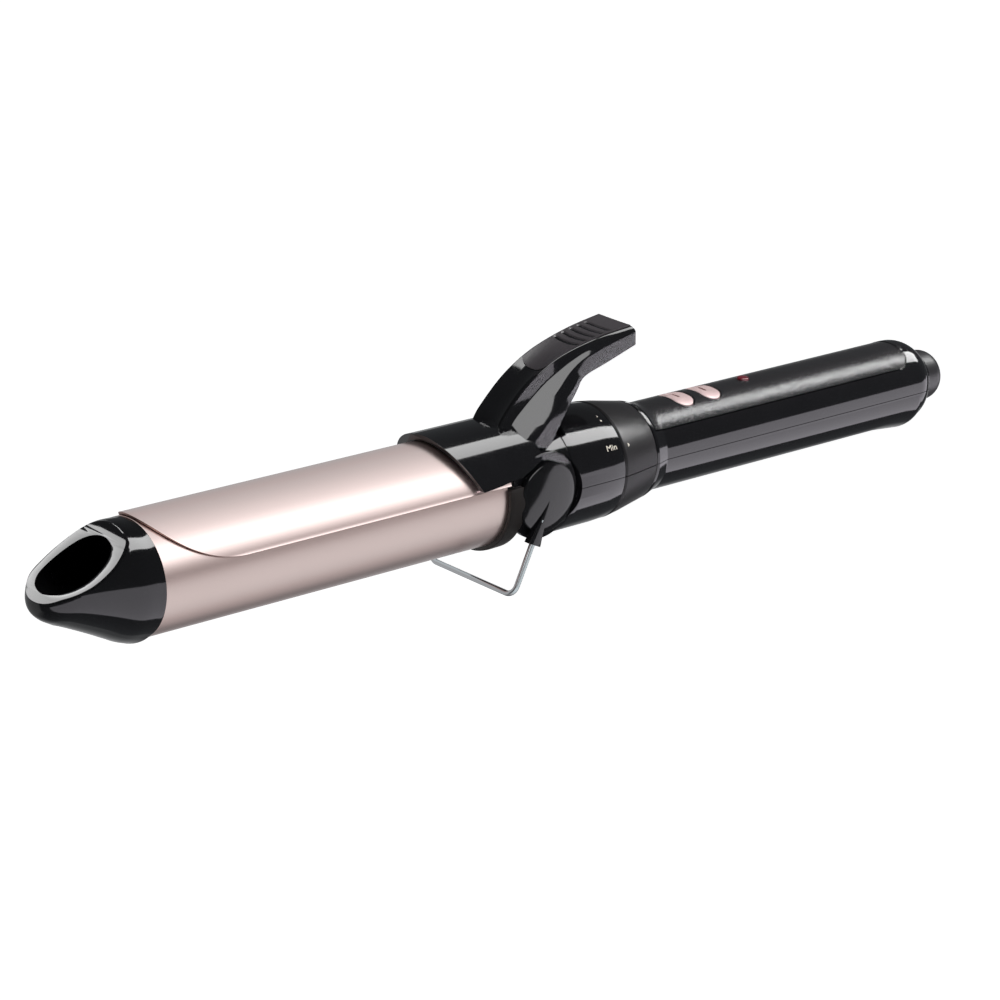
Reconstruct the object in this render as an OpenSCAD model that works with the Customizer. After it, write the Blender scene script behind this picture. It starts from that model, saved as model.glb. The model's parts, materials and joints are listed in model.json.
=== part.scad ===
// Curling iron with a spring clip, a fold-out wire stand, a temperature dial and a cord swivel.
// Millimetres. The parts are drawn along the barrel's axis, which is X: 0 is the barrel's front end
// and +X runs to the cord. placed() stands the whole tool on its wire stand and on the handle's heel.

/* [Barrel] */
// Outer radius of the heated barrel
barrel_r = 19; // [16:0.5:23]
// Wall of the barrel tube
barrel_wall = 0.8; // [0.6:0.1:1.4]
// Visible length of the barrel
barrel_len = 139.5; // [110:0.5:180]
// Length of the collar's spigot inside the barrel
collar_spigot = 8; // [6:0.5:10]

/* [Cool tip] */
// Length of the tip in front of the barrel
tip_len = 35; // [28:0.5:44]
// Wall of the tip
tip_wall = 2.6; // [2:0.1:3.2]
// Length of the tip's spigot inside the barrel
tip_spigot = 9; // [7:0.5:12]

/* [Clip] */
// Thickness of the clip plate
clip_t = 0.6; // [0.5:0.1:0.8]
// Gap between the clip plate and the barrel
clip_gap = 0.4; // [0.3:0.1:0.6]
// Angle from the top of the barrel to the clip plate's side edge
clip_half_angle = 70.5; // [60:0.5:75]
// Length over which the clip plate's front narrows
clip_nose = 31; // [20:1:45]
// Wall of the saddle over the clip plate
saddle_wall = 2.4; // [2:0.1:3]
// Length of the saddle ahead of the hinge
saddle_len = 37.5; // [30:0.5:45]
// Half width of the thumb lever at its end
lever_half_w = 9.8; // [8:0.1:11]
// Reach of the thumb lever behind the hinge
lever_reach = 47; // [40:0.5:50]
// Opening angle of the clip, in degrees
clip_open = 14; // [8:1:15]

/* [Stand] */
// Radius of the stand wire
wire_r = 1.0; // [0.8:0.1:1.3]
// Distance from the hinge to the stand's crossbar
stand_leg = 34.2; // [32:0.1:38]
// Lean of the unfolded stand ahead of straight down, in degrees
stand_lean = 23.3; // [15:0.1:30]
// Fold travel of the stand, in degrees
stand_fold = 72; // [60:1:74]

/* [Hinge] */
// Distance from the barrel's visible end to the hinge
hinge_back = 16.5; // [15.5:0.1:18]
// Radius of the hinge pins
pin_r = 2.0; // [1.5:0.1:2.5]
// Running clearance of ears and hubs on the pins
pin_clear = 0.05; // [0.02:0.01:0.08]
// Radius of the clip's ears
ear_r = 14.9; // [13:0.1:15.5]
// Radius of the stand's hub discs
hub_r = 12; // [10:0.1:13]

/* [Neck and dial] */
// Largest outer radius of the neck
neck_r = 20.3; // [19.5:0.1:21]
// Length of the scale housing
scale_len = 24; // [20:0.5:30]
// Length of the dial ring
dial_len = 17.4; // [14:0.2:22]
// Turn of the dial from lowest to highest setting, in degrees
dial_turn = 120; // [90:5:160]
// Outer radius of the sleeve that the dial runs on
sleeve_r = 13; // [12:0.1:13.2]

/* [Handle] */
// Outer radius of the handle
handle_r = 15.4; // [14.5:0.1:16]
// Wall of the handle shells
handle_wall = 2.2; // [1.6:0.1:2.4]
// Length of the handle shells
handle_len = 148.5; // [145:0.5:180]
// Drop of the handle's heel below its line
heel_drop = 1.3; // [1:0.1:2]
// Half angle of the satin top panel, from the top
panel_half_angle = 52; // [45:1:58]
// Thickness of the top panel
panel_t = 0.8; // [0.6:0.1:1]
// Travel of the two push buttons
button_travel = 0.8; // [0.5:0.1:0.8]

/* [Swivel] */
// Outer radius of the cord swivel
swivel_r = 9.3; // [8.5:0.1:9.6]
// Length of swivel behind the handle
swivel_out = 11.4; // [9:0.2:14]
// Radius of the cord's bore
cord_r = 3.4; // [3:0.1:4]
// Length of the cord's bore
cord_bore_len = 20; // [15:1:24]

/* [Hidden] */
$fn = 96;
eps = 0.01;

// ---- clearances ----
gap = 0.3;        // between pieces that move past each other
fit = 0.1;        // between pieces that are pushed together
run_fit = 0.06;   // radial, on the dial sleeve and the swivel

// ---- stations along the axis ----
collar_x0 = barrel_len;
collar_web = 5;
web_x0 = barrel_len + 4.5;
yoke_x0 = web_x0 + collar_web;
hinge_x = barrel_len + hinge_back;
scale_x0 = hinge_x + 12.3;
scale_x1 = scale_x0 + scale_len;
dial_x0 = scale_x1;
dial_x1 = dial_x0 + dial_len;
handle_x0 = dial_x1 + gap;
handle_x1 = handle_x0 + handle_len;
swivel_x1 = handle_x1 + swivel_out - 1;

// ---- radii ----
bore_r = barrel_r - barrel_wall;
clip_in = barrel_r + clip_gap;
clip_out = clip_in + clip_t;
saddle_in = clip_out + gap;
saddle_out = saddle_in + saddle_wall;
flange_r = barrel_r + 1.6;
waist_r = barrel_r - 1.5;
neck_bore = sleeve_r - 0.5;
sleeve_in = sleeve_r - 1.5;
dial_bore = sleeve_r + run_fit;
handle_in = handle_r - handle_wall;
dial_rear_r = handle_r + 1.7;

// ---- the hinge stack, outwards along Y ----
yoke_flat = 15.4;
ear_y0 = yoke_flat + gap;
ear_y1 = ear_y0 + 2.3;
hub_y0 = ear_y1 + gap;
hub_y1 = hub_y0 + 2.0;
hub_dome = 0.9;
tab_y0 = hub_y0 + 0.9;
tab_y1 = tab_y0 + 3.0;
wire_y = tab_y0 + 1.4;
pin_in = 8;
pin_out = hub_y0 + 1.6;
pocket_r = ear_r + 0.6;

// ---- standing pose: one line touches the wire's crossbar and the heel's round ----
heel_round = 8.5;
heel_x = handle_x1 - 12.2;
heel_z = -(handle_r + heel_drop - heel_round);
bar_x = hinge_x - stand_leg * sin(stand_lean);
bar_z = -stand_leg * cos(stand_lean);
bar_span = norm([heel_x - bar_x, heel_z - bar_z]);
tilt = atan2(heel_z - bar_z, heel_x - bar_x) - asin((heel_round - wire_r) / bar_span);
function row_x(x, z) = x * cos(tilt) + z * sin(tilt);
function row_z(x, z) = z * cos(tilt) - x * sin(tilt);
nose_r = 2.2;
nose_z = -1.8;
swivel_end_r = 5.5;
front_x = row_x(-tip_len, nose_z - nose_r);
rear_x = row_x(swivel_x1, swivel_end_r);
floor_z = row_z(bar_x, bar_z) - wire_r;

module placed() {
    translate([-(front_x + rear_x) / 2, 0, -floor_z]) rotate([0, tilt, 0]) children();
}

// ---- shared shapes ----
// A solid of revolution about the X axis, from points [x, radius].
module turned(points) {
    rotate([0, 90, 0]) rotate_extrude() polygon([for (p = points) [p[1], p[0]]]);
}
// A tube along the X axis.
module ring(x0, x1, r_out, r_in) {
    translate([x0, 0, 0]) rotate([0, 90, 0]) difference() {
        cylinder(r = r_out, h = x1 - x0);
        translate([0, 0, -1]) cylinder(r = r_in, h = x1 - x0 + 2);
    }
}
// A rod along the X axis.
module rod(x0, x1, r, y = 0, z = 0) {
    translate([x0, y, z]) rotate([0, 90, 0]) cylinder(r = r, h = x1 - x0);
}
// A block from one corner to the other.
module block(low, high) {
    translate(low) cube(high - low);
}
// A side view [x, z] given a width of 2 * half_w across Y.
module side_prism(points, half_w) {
    translate([0, half_w, 0]) rotate([90, 0, 0]) linear_extrude(2 * half_w) polygon(points);
}
// A rod across Y from y0 to y1 on the hinge axis.
module hinge_rod(r, y0, y1) {
    translate([hinge_x, y1, 0]) rotate([90, 0, 0]) cylinder(r = r, h = y1 - y0);
}
// The half space above (side = 1) or below (side = -1) the parting plane.
module half_space(side) {
    translate([-100, -50, side > 0 ? 0 : -100]) cube([700, 100, 100]);
}
module both_sides() {
    children();
    mirror([0, 1, 0]) children();
}

// ---- the barrel ----
module barrel_tube() color([0.80, 0.68, 0.64]) placed() {
    ring(0, barrel_len, barrel_r, bore_r);
}

// Sections of the tip: [x, centre height, half width, half height].
tip_k = tip_len / 35;
tip_sections = [[0, 0, barrel_r, barrel_r], [-7, 0.7, 18.6, 18.2], [-14.3, 1.5, 16.5, 15.3],
                [-20.7, 2.0, 14.6, 12.8], [-25.9, 2.2, 12.8, 10.7], [-29.1, 1.2, 11.3, 8.6],
                [-31.8, 0, 8.8, 6.4], [-33.8, -1.1, 5.6, 3.9], [-35, nose_z, 3.0, nose_r]];
hollow_sections = [[-2, 0.8, 15.6, 14.8], [-9.5, 1.2, 14.4, 13.9], [-14.3, 1.6, 14.1, 12.8],
                   [-20.7, 2.2, 12.0, 10.2], [-25.6, 2.4, 10.2, 8.2], [-28.4, 2.1, 8.4, 6.5],
                   [-30.4, 1.6, 5.6, 4.2]];
module section_disc(s) {
    translate([s[0] * tip_k, 0, s[1]]) scale([1, s[2], s[3]]) rotate([0, 90, 0])
        cylinder(r = 1, h = 0.1, $fn = 48);
}
// The edge of the scoop, as a cubic curve in side view.
scoop = [[-6, 20.5], [-8.2, 13.4], [-22, 6.5], [-37, -0.5]];
function cubic(p, t) = pow(1 - t, 3) * p[0] + 3 * t * pow(1 - t, 2) * p[1]
                       + 3 * t * t * (1 - t) * p[2] + pow(t, 3) * p[3];
scoop_points = [for (i = [0:24]) let (p = cubic(scoop, i / 24)) [p[0] * tip_k, p[1]]];
tip_web_x = 3;
module tip_outside() {
    hull() {
        for (s = tip_sections) section_disc(s);
        section_disc([-0.6, -13.2, 8.5, 8.2]);
    }
}
module cool_tip() color([0.05, 0.05, 0.06]) placed() difference() {
    union() {
        intersection() {
            tip_outside();
            block([-60, -30, -30], [0, 30, 30]);
        }
        ring(-eps, tip_spigot, bore_r - fit, bore_r - tip_wall);
        rod(tip_web_x, tip_web_x + 2.5, bore_r - tip_wall + eps);
    }
    hull() for (s = hollow_sections) section_disc(s);
    rod(-3, tip_web_x, 15.4);
    side_prism(concat(scoop_points, [[-60, -0.5], [-60, 40], [-6, 40]]), 30);
    rod(0, 20, 1.7);
}
module tip_bracket() color([0.7, 0.7, 0.72]) placed() difference() {
    union() {
        block([tip_spigot + 0.6, -bore_r + 1, -6], [tip_spigot + 1.8, bore_r - 1, 6]);
        intersection() {
            ring(tip_spigot + 0.6, tip_spigot + 9, bore_r - 0.05, bore_r - 1.1);
            block([0, -30, -6], [60, 30, 6]);
        }
    }
    rod(0, 30, 1.5);
}
module tip_screw() color([0.75, 0.75, 0.77]) placed() difference() {
    union() {
        rod(tip_web_x - 1.8, tip_web_x, 3.1);
        rod(tip_web_x - eps, tip_spigot + 4, 1.5);
    }
    block([0, -2.2, -0.3], [tip_web_x - 1.1, 2.2, 0.3]);
    block([0, -0.3, -2.2], [tip_web_x - 1.1, 0.3, 2.2]);
}

// ---- the heater ----
heater_x0 = tip_spigot + 11;
heater_x1 = barrel_len - 12;
block_r = bore_r - 0.15;
heater_wall = 1.4;
stone_t = 2.8;
strip_t = 0.3;
film_t = 0.3;
film_z = stone_t / 2 + strip_t + film_t;
module heater_block() difference() {
    rod(heater_x0, heater_x1, block_r);
    difference() {
        rod(heater_x0 - 1, heater_x1 + 1, block_r - heater_wall);
        block([0, -30, -30], [400, 30, film_z + heater_wall]);
    }
    block([0, -30, -30], [400, 30, film_z]);
}
module heater_block_upper() color([0.78, 0.79, 0.8]) placed() heater_block();
module heater_block_lower() color([0.78, 0.79, 0.8]) placed() mirror([0, 0, 1]) heater_block();
stone_pitch = (heater_x1 - heater_x0 - 4) / 4;
module ptc_stones() color([0.45, 0.42, 0.4]) placed() {
    for (i = [0:3])
        block([heater_x0 + 2 + i * stone_pitch, -8, -stone_t / 2],
              [heater_x0 + (i + 1) * stone_pitch, 8, stone_t / 2]);
}
module electrode_strips() color([0.8, 0.65, 0.3]) placed() {
    for (side = [0, 1]) mirror([0, 0, side])
        block([heater_x0, -8, stone_t / 2], [heater_x1 + 5, 8, stone_t / 2 + strip_t]);
}
module insulation_film() color([0.75, 0.5, 0.15]) placed() difference() {
    block([heater_x0 - 1, -10.5, -film_z], [heater_x1 + 1, 10.5, film_z]);
    block([0, -10.2, -film_z + film_t], [400, 10.2, film_z - film_t]);
}
module thermistor() color([0.85, 0.45, 0.3]) placed() {
    rod(heater_x1 - 40, heater_x1 - 32, 1.4, 0, film_z + 3.3);
    for (y = [-0.7, 0.7]) rod(heater_x1 - 32, heater_x1 + 4, 0.35, y, film_z + 3.3);
}
module thermal_fuse() color([0.85, 0.8, 0.7]) placed() {
    rod(heater_x1 - 30, heater_x1 - 19, 1.9, 0, -film_z - 3.8);
    rod(heater_x1 - 34, heater_x1 + 4, 0.45, 0, -film_z - 3.8);
}
module heater_leads() color([0.9, 0.9, 0.88]) placed() {
    for (side = [-1, 1]) {
        rod(heater_x1 + 5, handle_x0 + 18, 1.1, 5.2 * side, 0);
        rod(heater_x1 + 5, handle_x0 + 18, 0.7, 5.2 * side, 4);
    }
}

// ---- collar and hinge yoke ----
spigot_in = bore_r - 1.9;
screw_ring_r = neck_bore + 1.7;
module collar_screw_places() {
    for (a = [-30, 30, 180]) rotate([a, 0, 0]) translate([0, 0, screw_ring_r]) children();
}
module barrel_collar() color([0.16, 0.13, 0.12]) placed() difference() {
    union() {
        rod(collar_x0, yoke_x0, barrel_r - 0.1);
        rod(collar_x0 - collar_spigot, collar_x0 + eps, bore_r - 0.05);
        intersection() {
            turned([[collar_x0, 0], [collar_x0, flange_r - 0.4], [collar_x0 + 0.6, flange_r],
                    [collar_x0 + 6.2, flange_r], [yoke_x0, barrel_r - 0.2], [yoke_x0, 0]]);
            block([0, -50, -50], [400, 50, 5.5]);
        }
    }
    rod(collar_x0 - collar_spigot - 1, web_x0, spigot_in);
    rod(collar_x0 - 1, yoke_x0 + 1, neck_bore);
    collar_screw_places() rod(web_x0 - 1, yoke_x0 + 1, 1.1);
    both_sides() ear_pocket();
}
module collar_screws() color([0.75, 0.75, 0.77]) placed() collar_screw_places() {
    rod(web_x0 - 1.5, web_x0, 1.8);
    rod(web_x0 - eps, yoke_x0 + 4, 1.1);
}
// What the ears and their straps need of the neck, on one side.
module ear_pocket() {
    hinge_rod(pocket_r, yoke_flat, 30);
    mirror([0, 1, 0]) translate([0, -yoke_flat, 0]) rotate([90, 0, 0]) linear_extrude(20)
        polygon([[hinge_x, 0], [hinge_x + 14, 22], [hinge_x - 30, 30], [hinge_x - 16.5, 4]]);
}
// The lever's foot at rest, in side view. It stands just clear of the neck.
foot_half_w = 11.6;
foot_z = sqrt(pow(neck_r + 0.5, 2) - pow(foot_half_w, 2));
foot_points = [[hinge_x - 12, foot_z], [hinge_x - 12, 30], [hinge_x + 18, 30],
               [hinge_x + 17.8, 25.2], [hinge_x + 11.8, foot_z]];
module foot_sweep() {
    for (a = [0:(clip_open + 0.6) / 8:clip_open + 0.6])
        translate([hinge_x, 0, 0]) rotate([0, a, 0]) translate([-hinge_x, 0, 0])
            side_prism([for (p = foot_points) p + [gap, -gap]], foot_half_w + gap);
}
module neck_outside() {
    turned([[yoke_x0, 0], [yoke_x0, barrel_r - 0.4], [yoke_x0 + 2, waist_r + 0.6],
            [yoke_x0 + 5, waist_r], [hinge_x + 3, waist_r + 0.6], [hinge_x + 8, neck_r - 1],
            [scale_x0 + 1, neck_r], [scale_x0 + 18, neck_r - 0.05], [scale_x1, neck_r - 0.3],
            [scale_x1, 0]]);
}
module hinge_yoke() color([0.05, 0.05, 0.06]) placed() difference() {
    union() {
        difference() {
            intersection() {
                neck_outside();
                block([0, -50, -50], [scale_x0, 50, 50]);
            }
            rod(0, 400, neck_bore);
        }
        both_sides() hinge_rod(4.6, pin_in + 1.2, neck_bore + 1.5);
    }
    both_sides() ear_pocket();
    both_sides() hinge_rod(pin_r, 5, 30);
    foot_sweep();
    collar_screw_places() rod(yoke_x0 - 1, yoke_x0 + 4, 1.1);
}
module hinge_pins() color([0.75, 0.75, 0.77]) placed() both_sides() {
    hinge_rod(pin_r, pin_in, pin_out);
    hinge_rod(3.6, pin_in, pin_in + 1.2);
}

// ---- neck sleeve, scale housing and dial ----
module neck_sleeve() color([0.2, 0.2, 0.22]) placed() {
    ring(scale_x0 + 3, handle_x0 + 7, sleeve_r, sleeve_in);
}
module scale_housing(side) difference() {
    intersection() {
        neck_outside();
        block([scale_x0, -50, -50], [scale_x1 - gap, 50, 50]);
        half_space(side);
    }
    rod(0, 400, neck_bore);
    rod(scale_x0 + 3, 400, sleeve_r);
    both_sides() ear_pocket();
    foot_sweep();
}
module scale_housing_upper() color([0.05, 0.05, 0.06]) placed() scale_housing(1);
module scale_housing_lower() color([0.05, 0.05, 0.06]) placed() scale_housing(-1);

wiper_r0 = sleeve_r + 0.7;
wiper_r1 = sleeve_r + 1.9;
module dial_half(side) difference() {
    intersection() {
        turned([[dial_x0, 0], [dial_x0, neck_r - 0.5], [dial_x0 + 0.4, neck_r - 0.3],
                [dial_x0 + 6, neck_r - 1.0], [dial_x0 + 12, neck_r - 2.0],
                [dial_x1 - 0.4, dial_rear_r + 0.1], [dial_x1, dial_rear_r - 0.2], [dial_x1, 0]]);
        half_space(side);
    }
    rod(0, 400, dial_bore);
    wiper_pocket();
}
module wiper_pocket() {
    intersection() {
        ring(dial_x1 - 2, dial_x1 + 2, wiper_r1, wiper_r0);
        block([0, -5, 0], [400, 5, 30]);
    }
}
module dial_ring_upper() color([0.13, 0.12, 0.13]) placed() difference() {
    dial_half(1);
    pointer_place() cylinder(r = 0.6, h = 6, center = true);
}
module dial_ring_lower() color([0.13, 0.12, 0.13]) placed() dial_half(-1);
pointer_angle = dial_turn / 2;
module pointer_place() {
    rotate([pointer_angle, 0, 0]) translate([dial_x0 + 2.6, 0, neck_r - 0.6]) children();
}
module dial_pointer() color([0.85, 0.85, 0.84]) placed() intersection() {
    pointer_place() cylinder(r = 0.6, h = 6, center = true);
    ring(dial_x0, dial_x1, neck_r - 0.45, neck_r - 3);
}
module dial_wiper() color([0.8, 0.65, 0.3]) placed() intersection() {
    ring(dial_x1 - 2, dial_x1 + 1, wiper_r1, wiper_r0);
    block([0, -5, 0], [400, 5, 30]);
}
module dial_track() color([0.15, 0.4, 0.2]) placed() {
    ring(handle_x0 + 1.1, handle_x0 + 2.3, sleeve_r + 2.0, sleeve_r + 0.02);
}

// ---- the handle ----
rear_round = 11;
rear_flat = handle_x1 - rear_round;
function arc(cx, cr, r, from, to, n) =
    [for (i = [0:n]) let (a = from + (to - from) * i / n) [cx + r * sin(a), cr + r * cos(a)]];
handle_profile = concat([[handle_x0, 0], [handle_x0, dial_rear_r - 0.2], [handle_x0 + 0.5, dial_rear_r]],
                        [[handle_x0 + 6.5, handle_r]],
                        arc(rear_flat, handle_r - rear_round, rear_round, 0, 90, 12),
                        [[handle_x1, 0]]);
heel_profile = concat([[heel_x - 16.5, 0], [heel_x - 16.5, handle_r - heel_drop - 0.02]],
                      arc(heel_x, handle_r - heel_round, heel_round, 0, 90, 12),
                      [[heel_x + heel_round, 0]]);
bush_r = swivel_r + 2.2;
bush_x0 = handle_x1 - 13.5;
bush_x1 = bush_x0 + 6;
flange_x1 = bush_x0 - 0.4;
flange_x0 = flange_x1 - 2;
flange_out = swivel_r + 1.7;
module handle_inside() {
    rod(handle_x0 - 1, handle_x0 + 7, sleeve_r + 0.02);
    rod(handle_x0 - 1, handle_x0 + 2.3, sleeve_r + 2.0);
    rod(handle_x0 + 9, bush_x0 - 4.5, handle_in);
    rod(handle_x0 + 6, handle_x0 + 10, sleeve_in);
    rod(bush_x0 - 5, bush_x0, flange_out + 0.5);
    rod(bush_x0 - eps, bush_x1, bush_r);
    rod(bush_x1 - eps, handle_x1 + 5, swivel_r + 0.5);
}
screw_x = [handle_x0 + 14, handle_x0 + 70, handle_x0 + 107];
boss_r = 2.9;
module screw_bosses(r, z0, z1) {
    for (x = screw_x) translate([x, 0, z0]) cylinder(r = r, h = z1 - z0);
}
button_x = [handle_x0 + 24.6, handle_x0 + 37.8];
button_half = [4.0, 6.8];
led_x = handle_x0 + 57.8;
lens_r = 1.7;
// An oval rod from z0 to z1 at a push button's place.
module oval(x, grow, z0, z1) {
    translate([x, 0, z0]) linear_extrude(z1 - z0) hull() {
        for (s = [-1, 1]) translate([0, s * (button_half[1] - button_half[0])])
            circle(r = button_half[0] + grow, $fn = 64);
    }
}
panel_x0 = handle_x0 + 6.5;
panel_x1 = handle_x1 - 13.6;
panel_corner = 7;
// The top panel's outline, seen from above, with round rear corners.
module panel_prism() {
    half = handle_r * sin(panel_half_angle);
    translate([0, 0, 2]) linear_extrude(30) union() {
        translate([panel_x0, -half]) square([panel_x1 - panel_corner - panel_x0, 2 * half]);
        translate([panel_x0, -half + panel_corner]) square([panel_x1 - panel_x0, 2 * (half - panel_corner)]);
        for (s = [-1, 1]) translate([panel_x1 - panel_corner, s * (half - panel_corner)])
            circle(r = panel_corner);
    }
}
module panel_body() intersection() {
    ring(panel_x0, panel_x1, handle_r, handle_r - panel_t);
    panel_prism();
}
module handle_shell_upper() color([0.05, 0.05, 0.06]) placed() difference() {
    union() {
        intersection() {
            difference() {
                turned(handle_profile);
                handle_inside();
            }
            half_space(1);
        }
        intersection() {
            screw_bosses(boss_r, -1.5, handle_r);
            rod(handle_x0, handle_x1, handle_in + 0.3);
        }
    }
    screw_bosses(1.1, -4, 8);
    panel_body();
    for (x = button_x) oval(x, gap, 5, 20);
    translate([led_x, 0, 5]) cylinder(r = lens_r, h = 15);
}
module handle_shell_lower() color([0.05, 0.05, 0.06]) placed() difference() {
    intersection() {
        union() {
            difference() {
                union() {
                    turned(handle_profile);
                    translate([0, 0, -heel_drop]) turned(heel_profile);
                }
                handle_inside();
            }
            intersection() {
                screw_bosses(boss_r + 1.2, -handle_r, -1.5);
                rod(handle_x0, handle_x1, handle_in + 0.3);
            }
        }
        half_space(-1);
    }
    screw_bosses(1.5, -40, 1);
    screw_bosses(2.7, -40, -handle_r + 5.5);
}
module top_panel() color([0.15, 0.15, 0.16]) placed() difference() {
    panel_body();
    for (x = button_x) oval(x, gap, 5, 20);
    translate([led_x, 0, 5]) cylinder(r = lens_r, h = 15);
}
module shell_screws() color([0.75, 0.75, 0.77]) placed() {
    screw_bosses(2.6, -handle_r + 3.5, -handle_r + 5.5);
    screw_bosses(1.1, -handle_r + 5.4, 6);
}
board_z = 3;
board_t = 1.6;
board_x0 = handle_x0 + 18.4;
board_x1 = handle_x0 + 106;
module circuit_board() color([0.1, 0.35, 0.18]) placed() difference() {
    block([board_x0, -12, board_z], [board_x1, 12, board_z + board_t]);
    screw_bosses(boss_r + 0.4, -10, 20);
}
board_top = board_z + board_t;
module power_components() color([0.3, 0.3, 0.33]) placed() {
    block([handle_x0 + 80, -6, board_top], [handle_x0 + 92, 6, board_top + 5]);
    translate([handle_x0 + 99, 0, board_top]) cylinder(r = 4, h = 6);
    block([handle_x0 + 24, -5, board_z - 6], [handle_x0 + 44, 5, board_z]);
    block([handle_x0 + 50, -7, board_z - 8], [handle_x0 + 62, 7, board_z]);
}
module push_switches() color([0.2, 0.2, 0.22]) placed() {
    for (x = button_x) {
        block([x - 3, -3, board_top], [x + 3, 3, board_top + 2.6]);
        translate([x, 0, board_top + 2.5]) cylinder(r = 1.6, h = 0.9);
    }
}
module indicator_led() color([0.8, 0.1, 0.1]) placed() {
    translate([led_x, 0, board_top]) cylinder(r = 1.5, h = handle_in - board_top - 1.5);
}
module indicator_lens() color([0.6, 0.05, 0.08]) placed() intersection() {
    translate([led_x, 0, handle_in - 1]) cylinder(r = lens_r, h = 5);
    rod(led_x - 4, led_x + 4, handle_r + 0.15);
}
plunger_z = board_top + 3.4 + button_travel + gap;
module push_button(x) {
    intersection() {
        oval(x, 0, plunger_z + 0.5, 20);
        rod(x - 8, x + 8, handle_r + 0.35);
    }
    intersection() {
        oval(x, 1.1, plunger_z + 0.5, plunger_z + 1.4);
        rod(x - 8, x + 8, handle_in - 0.3);
    }
    translate([x, 0, plunger_z]) cylinder(r = 1.5, h = 1);
}
module on_button() color([0.85, 0.7, 0.68]) placed() push_button(button_x[0]);
module off_button() color([0.85, 0.7, 0.68]) placed() push_button(button_x[1]);

// ---- the cord swivel ----
shaft_r = 5.5;
shaft_x0 = flange_x0 - 17;
wire_bore = 2.6;
bore_x0 = swivel_x1 - cord_bore_len;
swivel_round = 6;
module swivel_gland() color([0.1, 0.1, 0.11]) placed() difference() {
    union() {
        turned(concat([[flange_x1 - eps, 0], [flange_x1 - eps, swivel_r]],
                      arc(swivel_x1 - swivel_round, swivel_r - swivel_round, swivel_round, 0, 60, 8),
                      [[swivel_x1, swivel_end_r], [swivel_x1, 0]]));
        rod(flange_x0, flange_x1, flange_out);
        rod(shaft_x0, flange_x0 + eps, shaft_r);
    }
    rod(bore_x0, swivel_x1 + 1, cord_r);
    rod(shaft_x0 - 1, bore_x0 + eps, wire_bore);
}
slip_x = [shaft_x0 + 3, shaft_x0 + 10];
module slip_rings() color([0.85, 0.7, 0.35]) placed() {
    for (x = slip_x) ring(x, x + 3, shaft_r + 1.5, shaft_r);
}
module swivel_bushing() color([0.85, 0.85, 0.83]) placed() {
    ring(bush_x0, bush_x1, bush_r, swivel_r + run_fit);
}
brush_z = -(shaft_r + 1.5 + gap);
module brush_holder() color([0.25, 0.25, 0.28]) placed() intersection() {
    block([shaft_x0 + 1, -5, -handle_in + 0.1], [bush_x0 - 4.8, 5, brush_z - 2]);
    rod(handle_x0 + 9, handle_x1, handle_in - 0.05);
}
module contact_brushes() color([0.85, 0.55, 0.35]) placed() {
    for (x = slip_x) block([x + 0.5, -3, brush_z - 2], [x + 2.5, 3, brush_z]);
}
module supply_leads() color([0.9, 0.9, 0.88]) placed() {
    for (side = [-1, 1]) {
        rod(board_x1 - 1, shaft_x0 + 1, 1.0, 6 * side, brush_z - 3);
        translate([board_x1 - 1, 6 * side, brush_z - 3]) cylinder(r = 1.0, h = board_z - brush_z + 3);
    }
}

// ---- the clip ----
// The clip plate's edge in plan: an ellipse in developed length, wrapped on the plate's radius.
clip_arc = clip_out * clip_half_angle * PI / 180;
function clip_edge(a) = [0.4 + clip_nose * (1 - cos(a)), clip_out * sin(clip_half_angle * sin(a))];
clip_x1 = collar_x0 + 1;
clip_side = concat([for (i = [0:18]) clip_edge(i * 5)], [[clip_x1, clip_out * sin(clip_half_angle)]]);
clip_plan = concat(clip_side, [for (i = [len(clip_side) - 1:-1:1]) [clip_side[i][0], -clip_side[i][1]]]);
module clip_plate() color([0.82, 0.70, 0.66]) placed() difference() {
    intersection() {
        ring(0, clip_x1, clip_out, clip_in);
        linear_extrude(40) polygon(clip_plan);
    }
    rivet_places() cylinder(r = 1.3, h = 30);
}
rivet_x = [hinge_x - 32, hinge_x - 18];
module rivet_places() {
    for (x = rivet_x) translate([x, 0, 0]) children();
}
module clip_rivets() color([0.75, 0.75, 0.77]) placed() rivet_places() {
    translate([0, 0, clip_in - 0.05]) cylinder(r = 1.3, h = saddle_in - clip_in + 1.5);
}
// Top line of the thumb lever, [x from the hinge, z].
lever_top = [[-9, saddle_out + 0.2], [-3.9, 28.4], [5.5, 36.3], [18.4, 42.3], [32.2, 45.7],
             [lever_reach, 45.7 + (lever_reach - 32.2) * 0.13]];
lever_end_t = 5.2;
lever_tip = lever_top[5];
lever_side = [for (p = concat(lever_top,
                              [[lever_tip[0], lever_tip[1] - lever_end_t], [24, 34.8], [17.8, 25.2],
                               [11.8, foot_z], [-9, foot_z]])) p + [hinge_x, 0]];
module lever_blank(inset) {
    intersection() {
        side_prism(lever_side, 20);
        linear_extrude(80) polygon([[hinge_x - 9, foot_half_w - inset], [hinge_x + 12, lever_half_w - inset],
            [hinge_x + 80, lever_half_w - inset], [hinge_x + 80, -lever_half_w + inset],
            [hinge_x + 12, -lever_half_w + inset], [hinge_x - 9, -foot_half_w + inset]]);
    }
}
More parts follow.
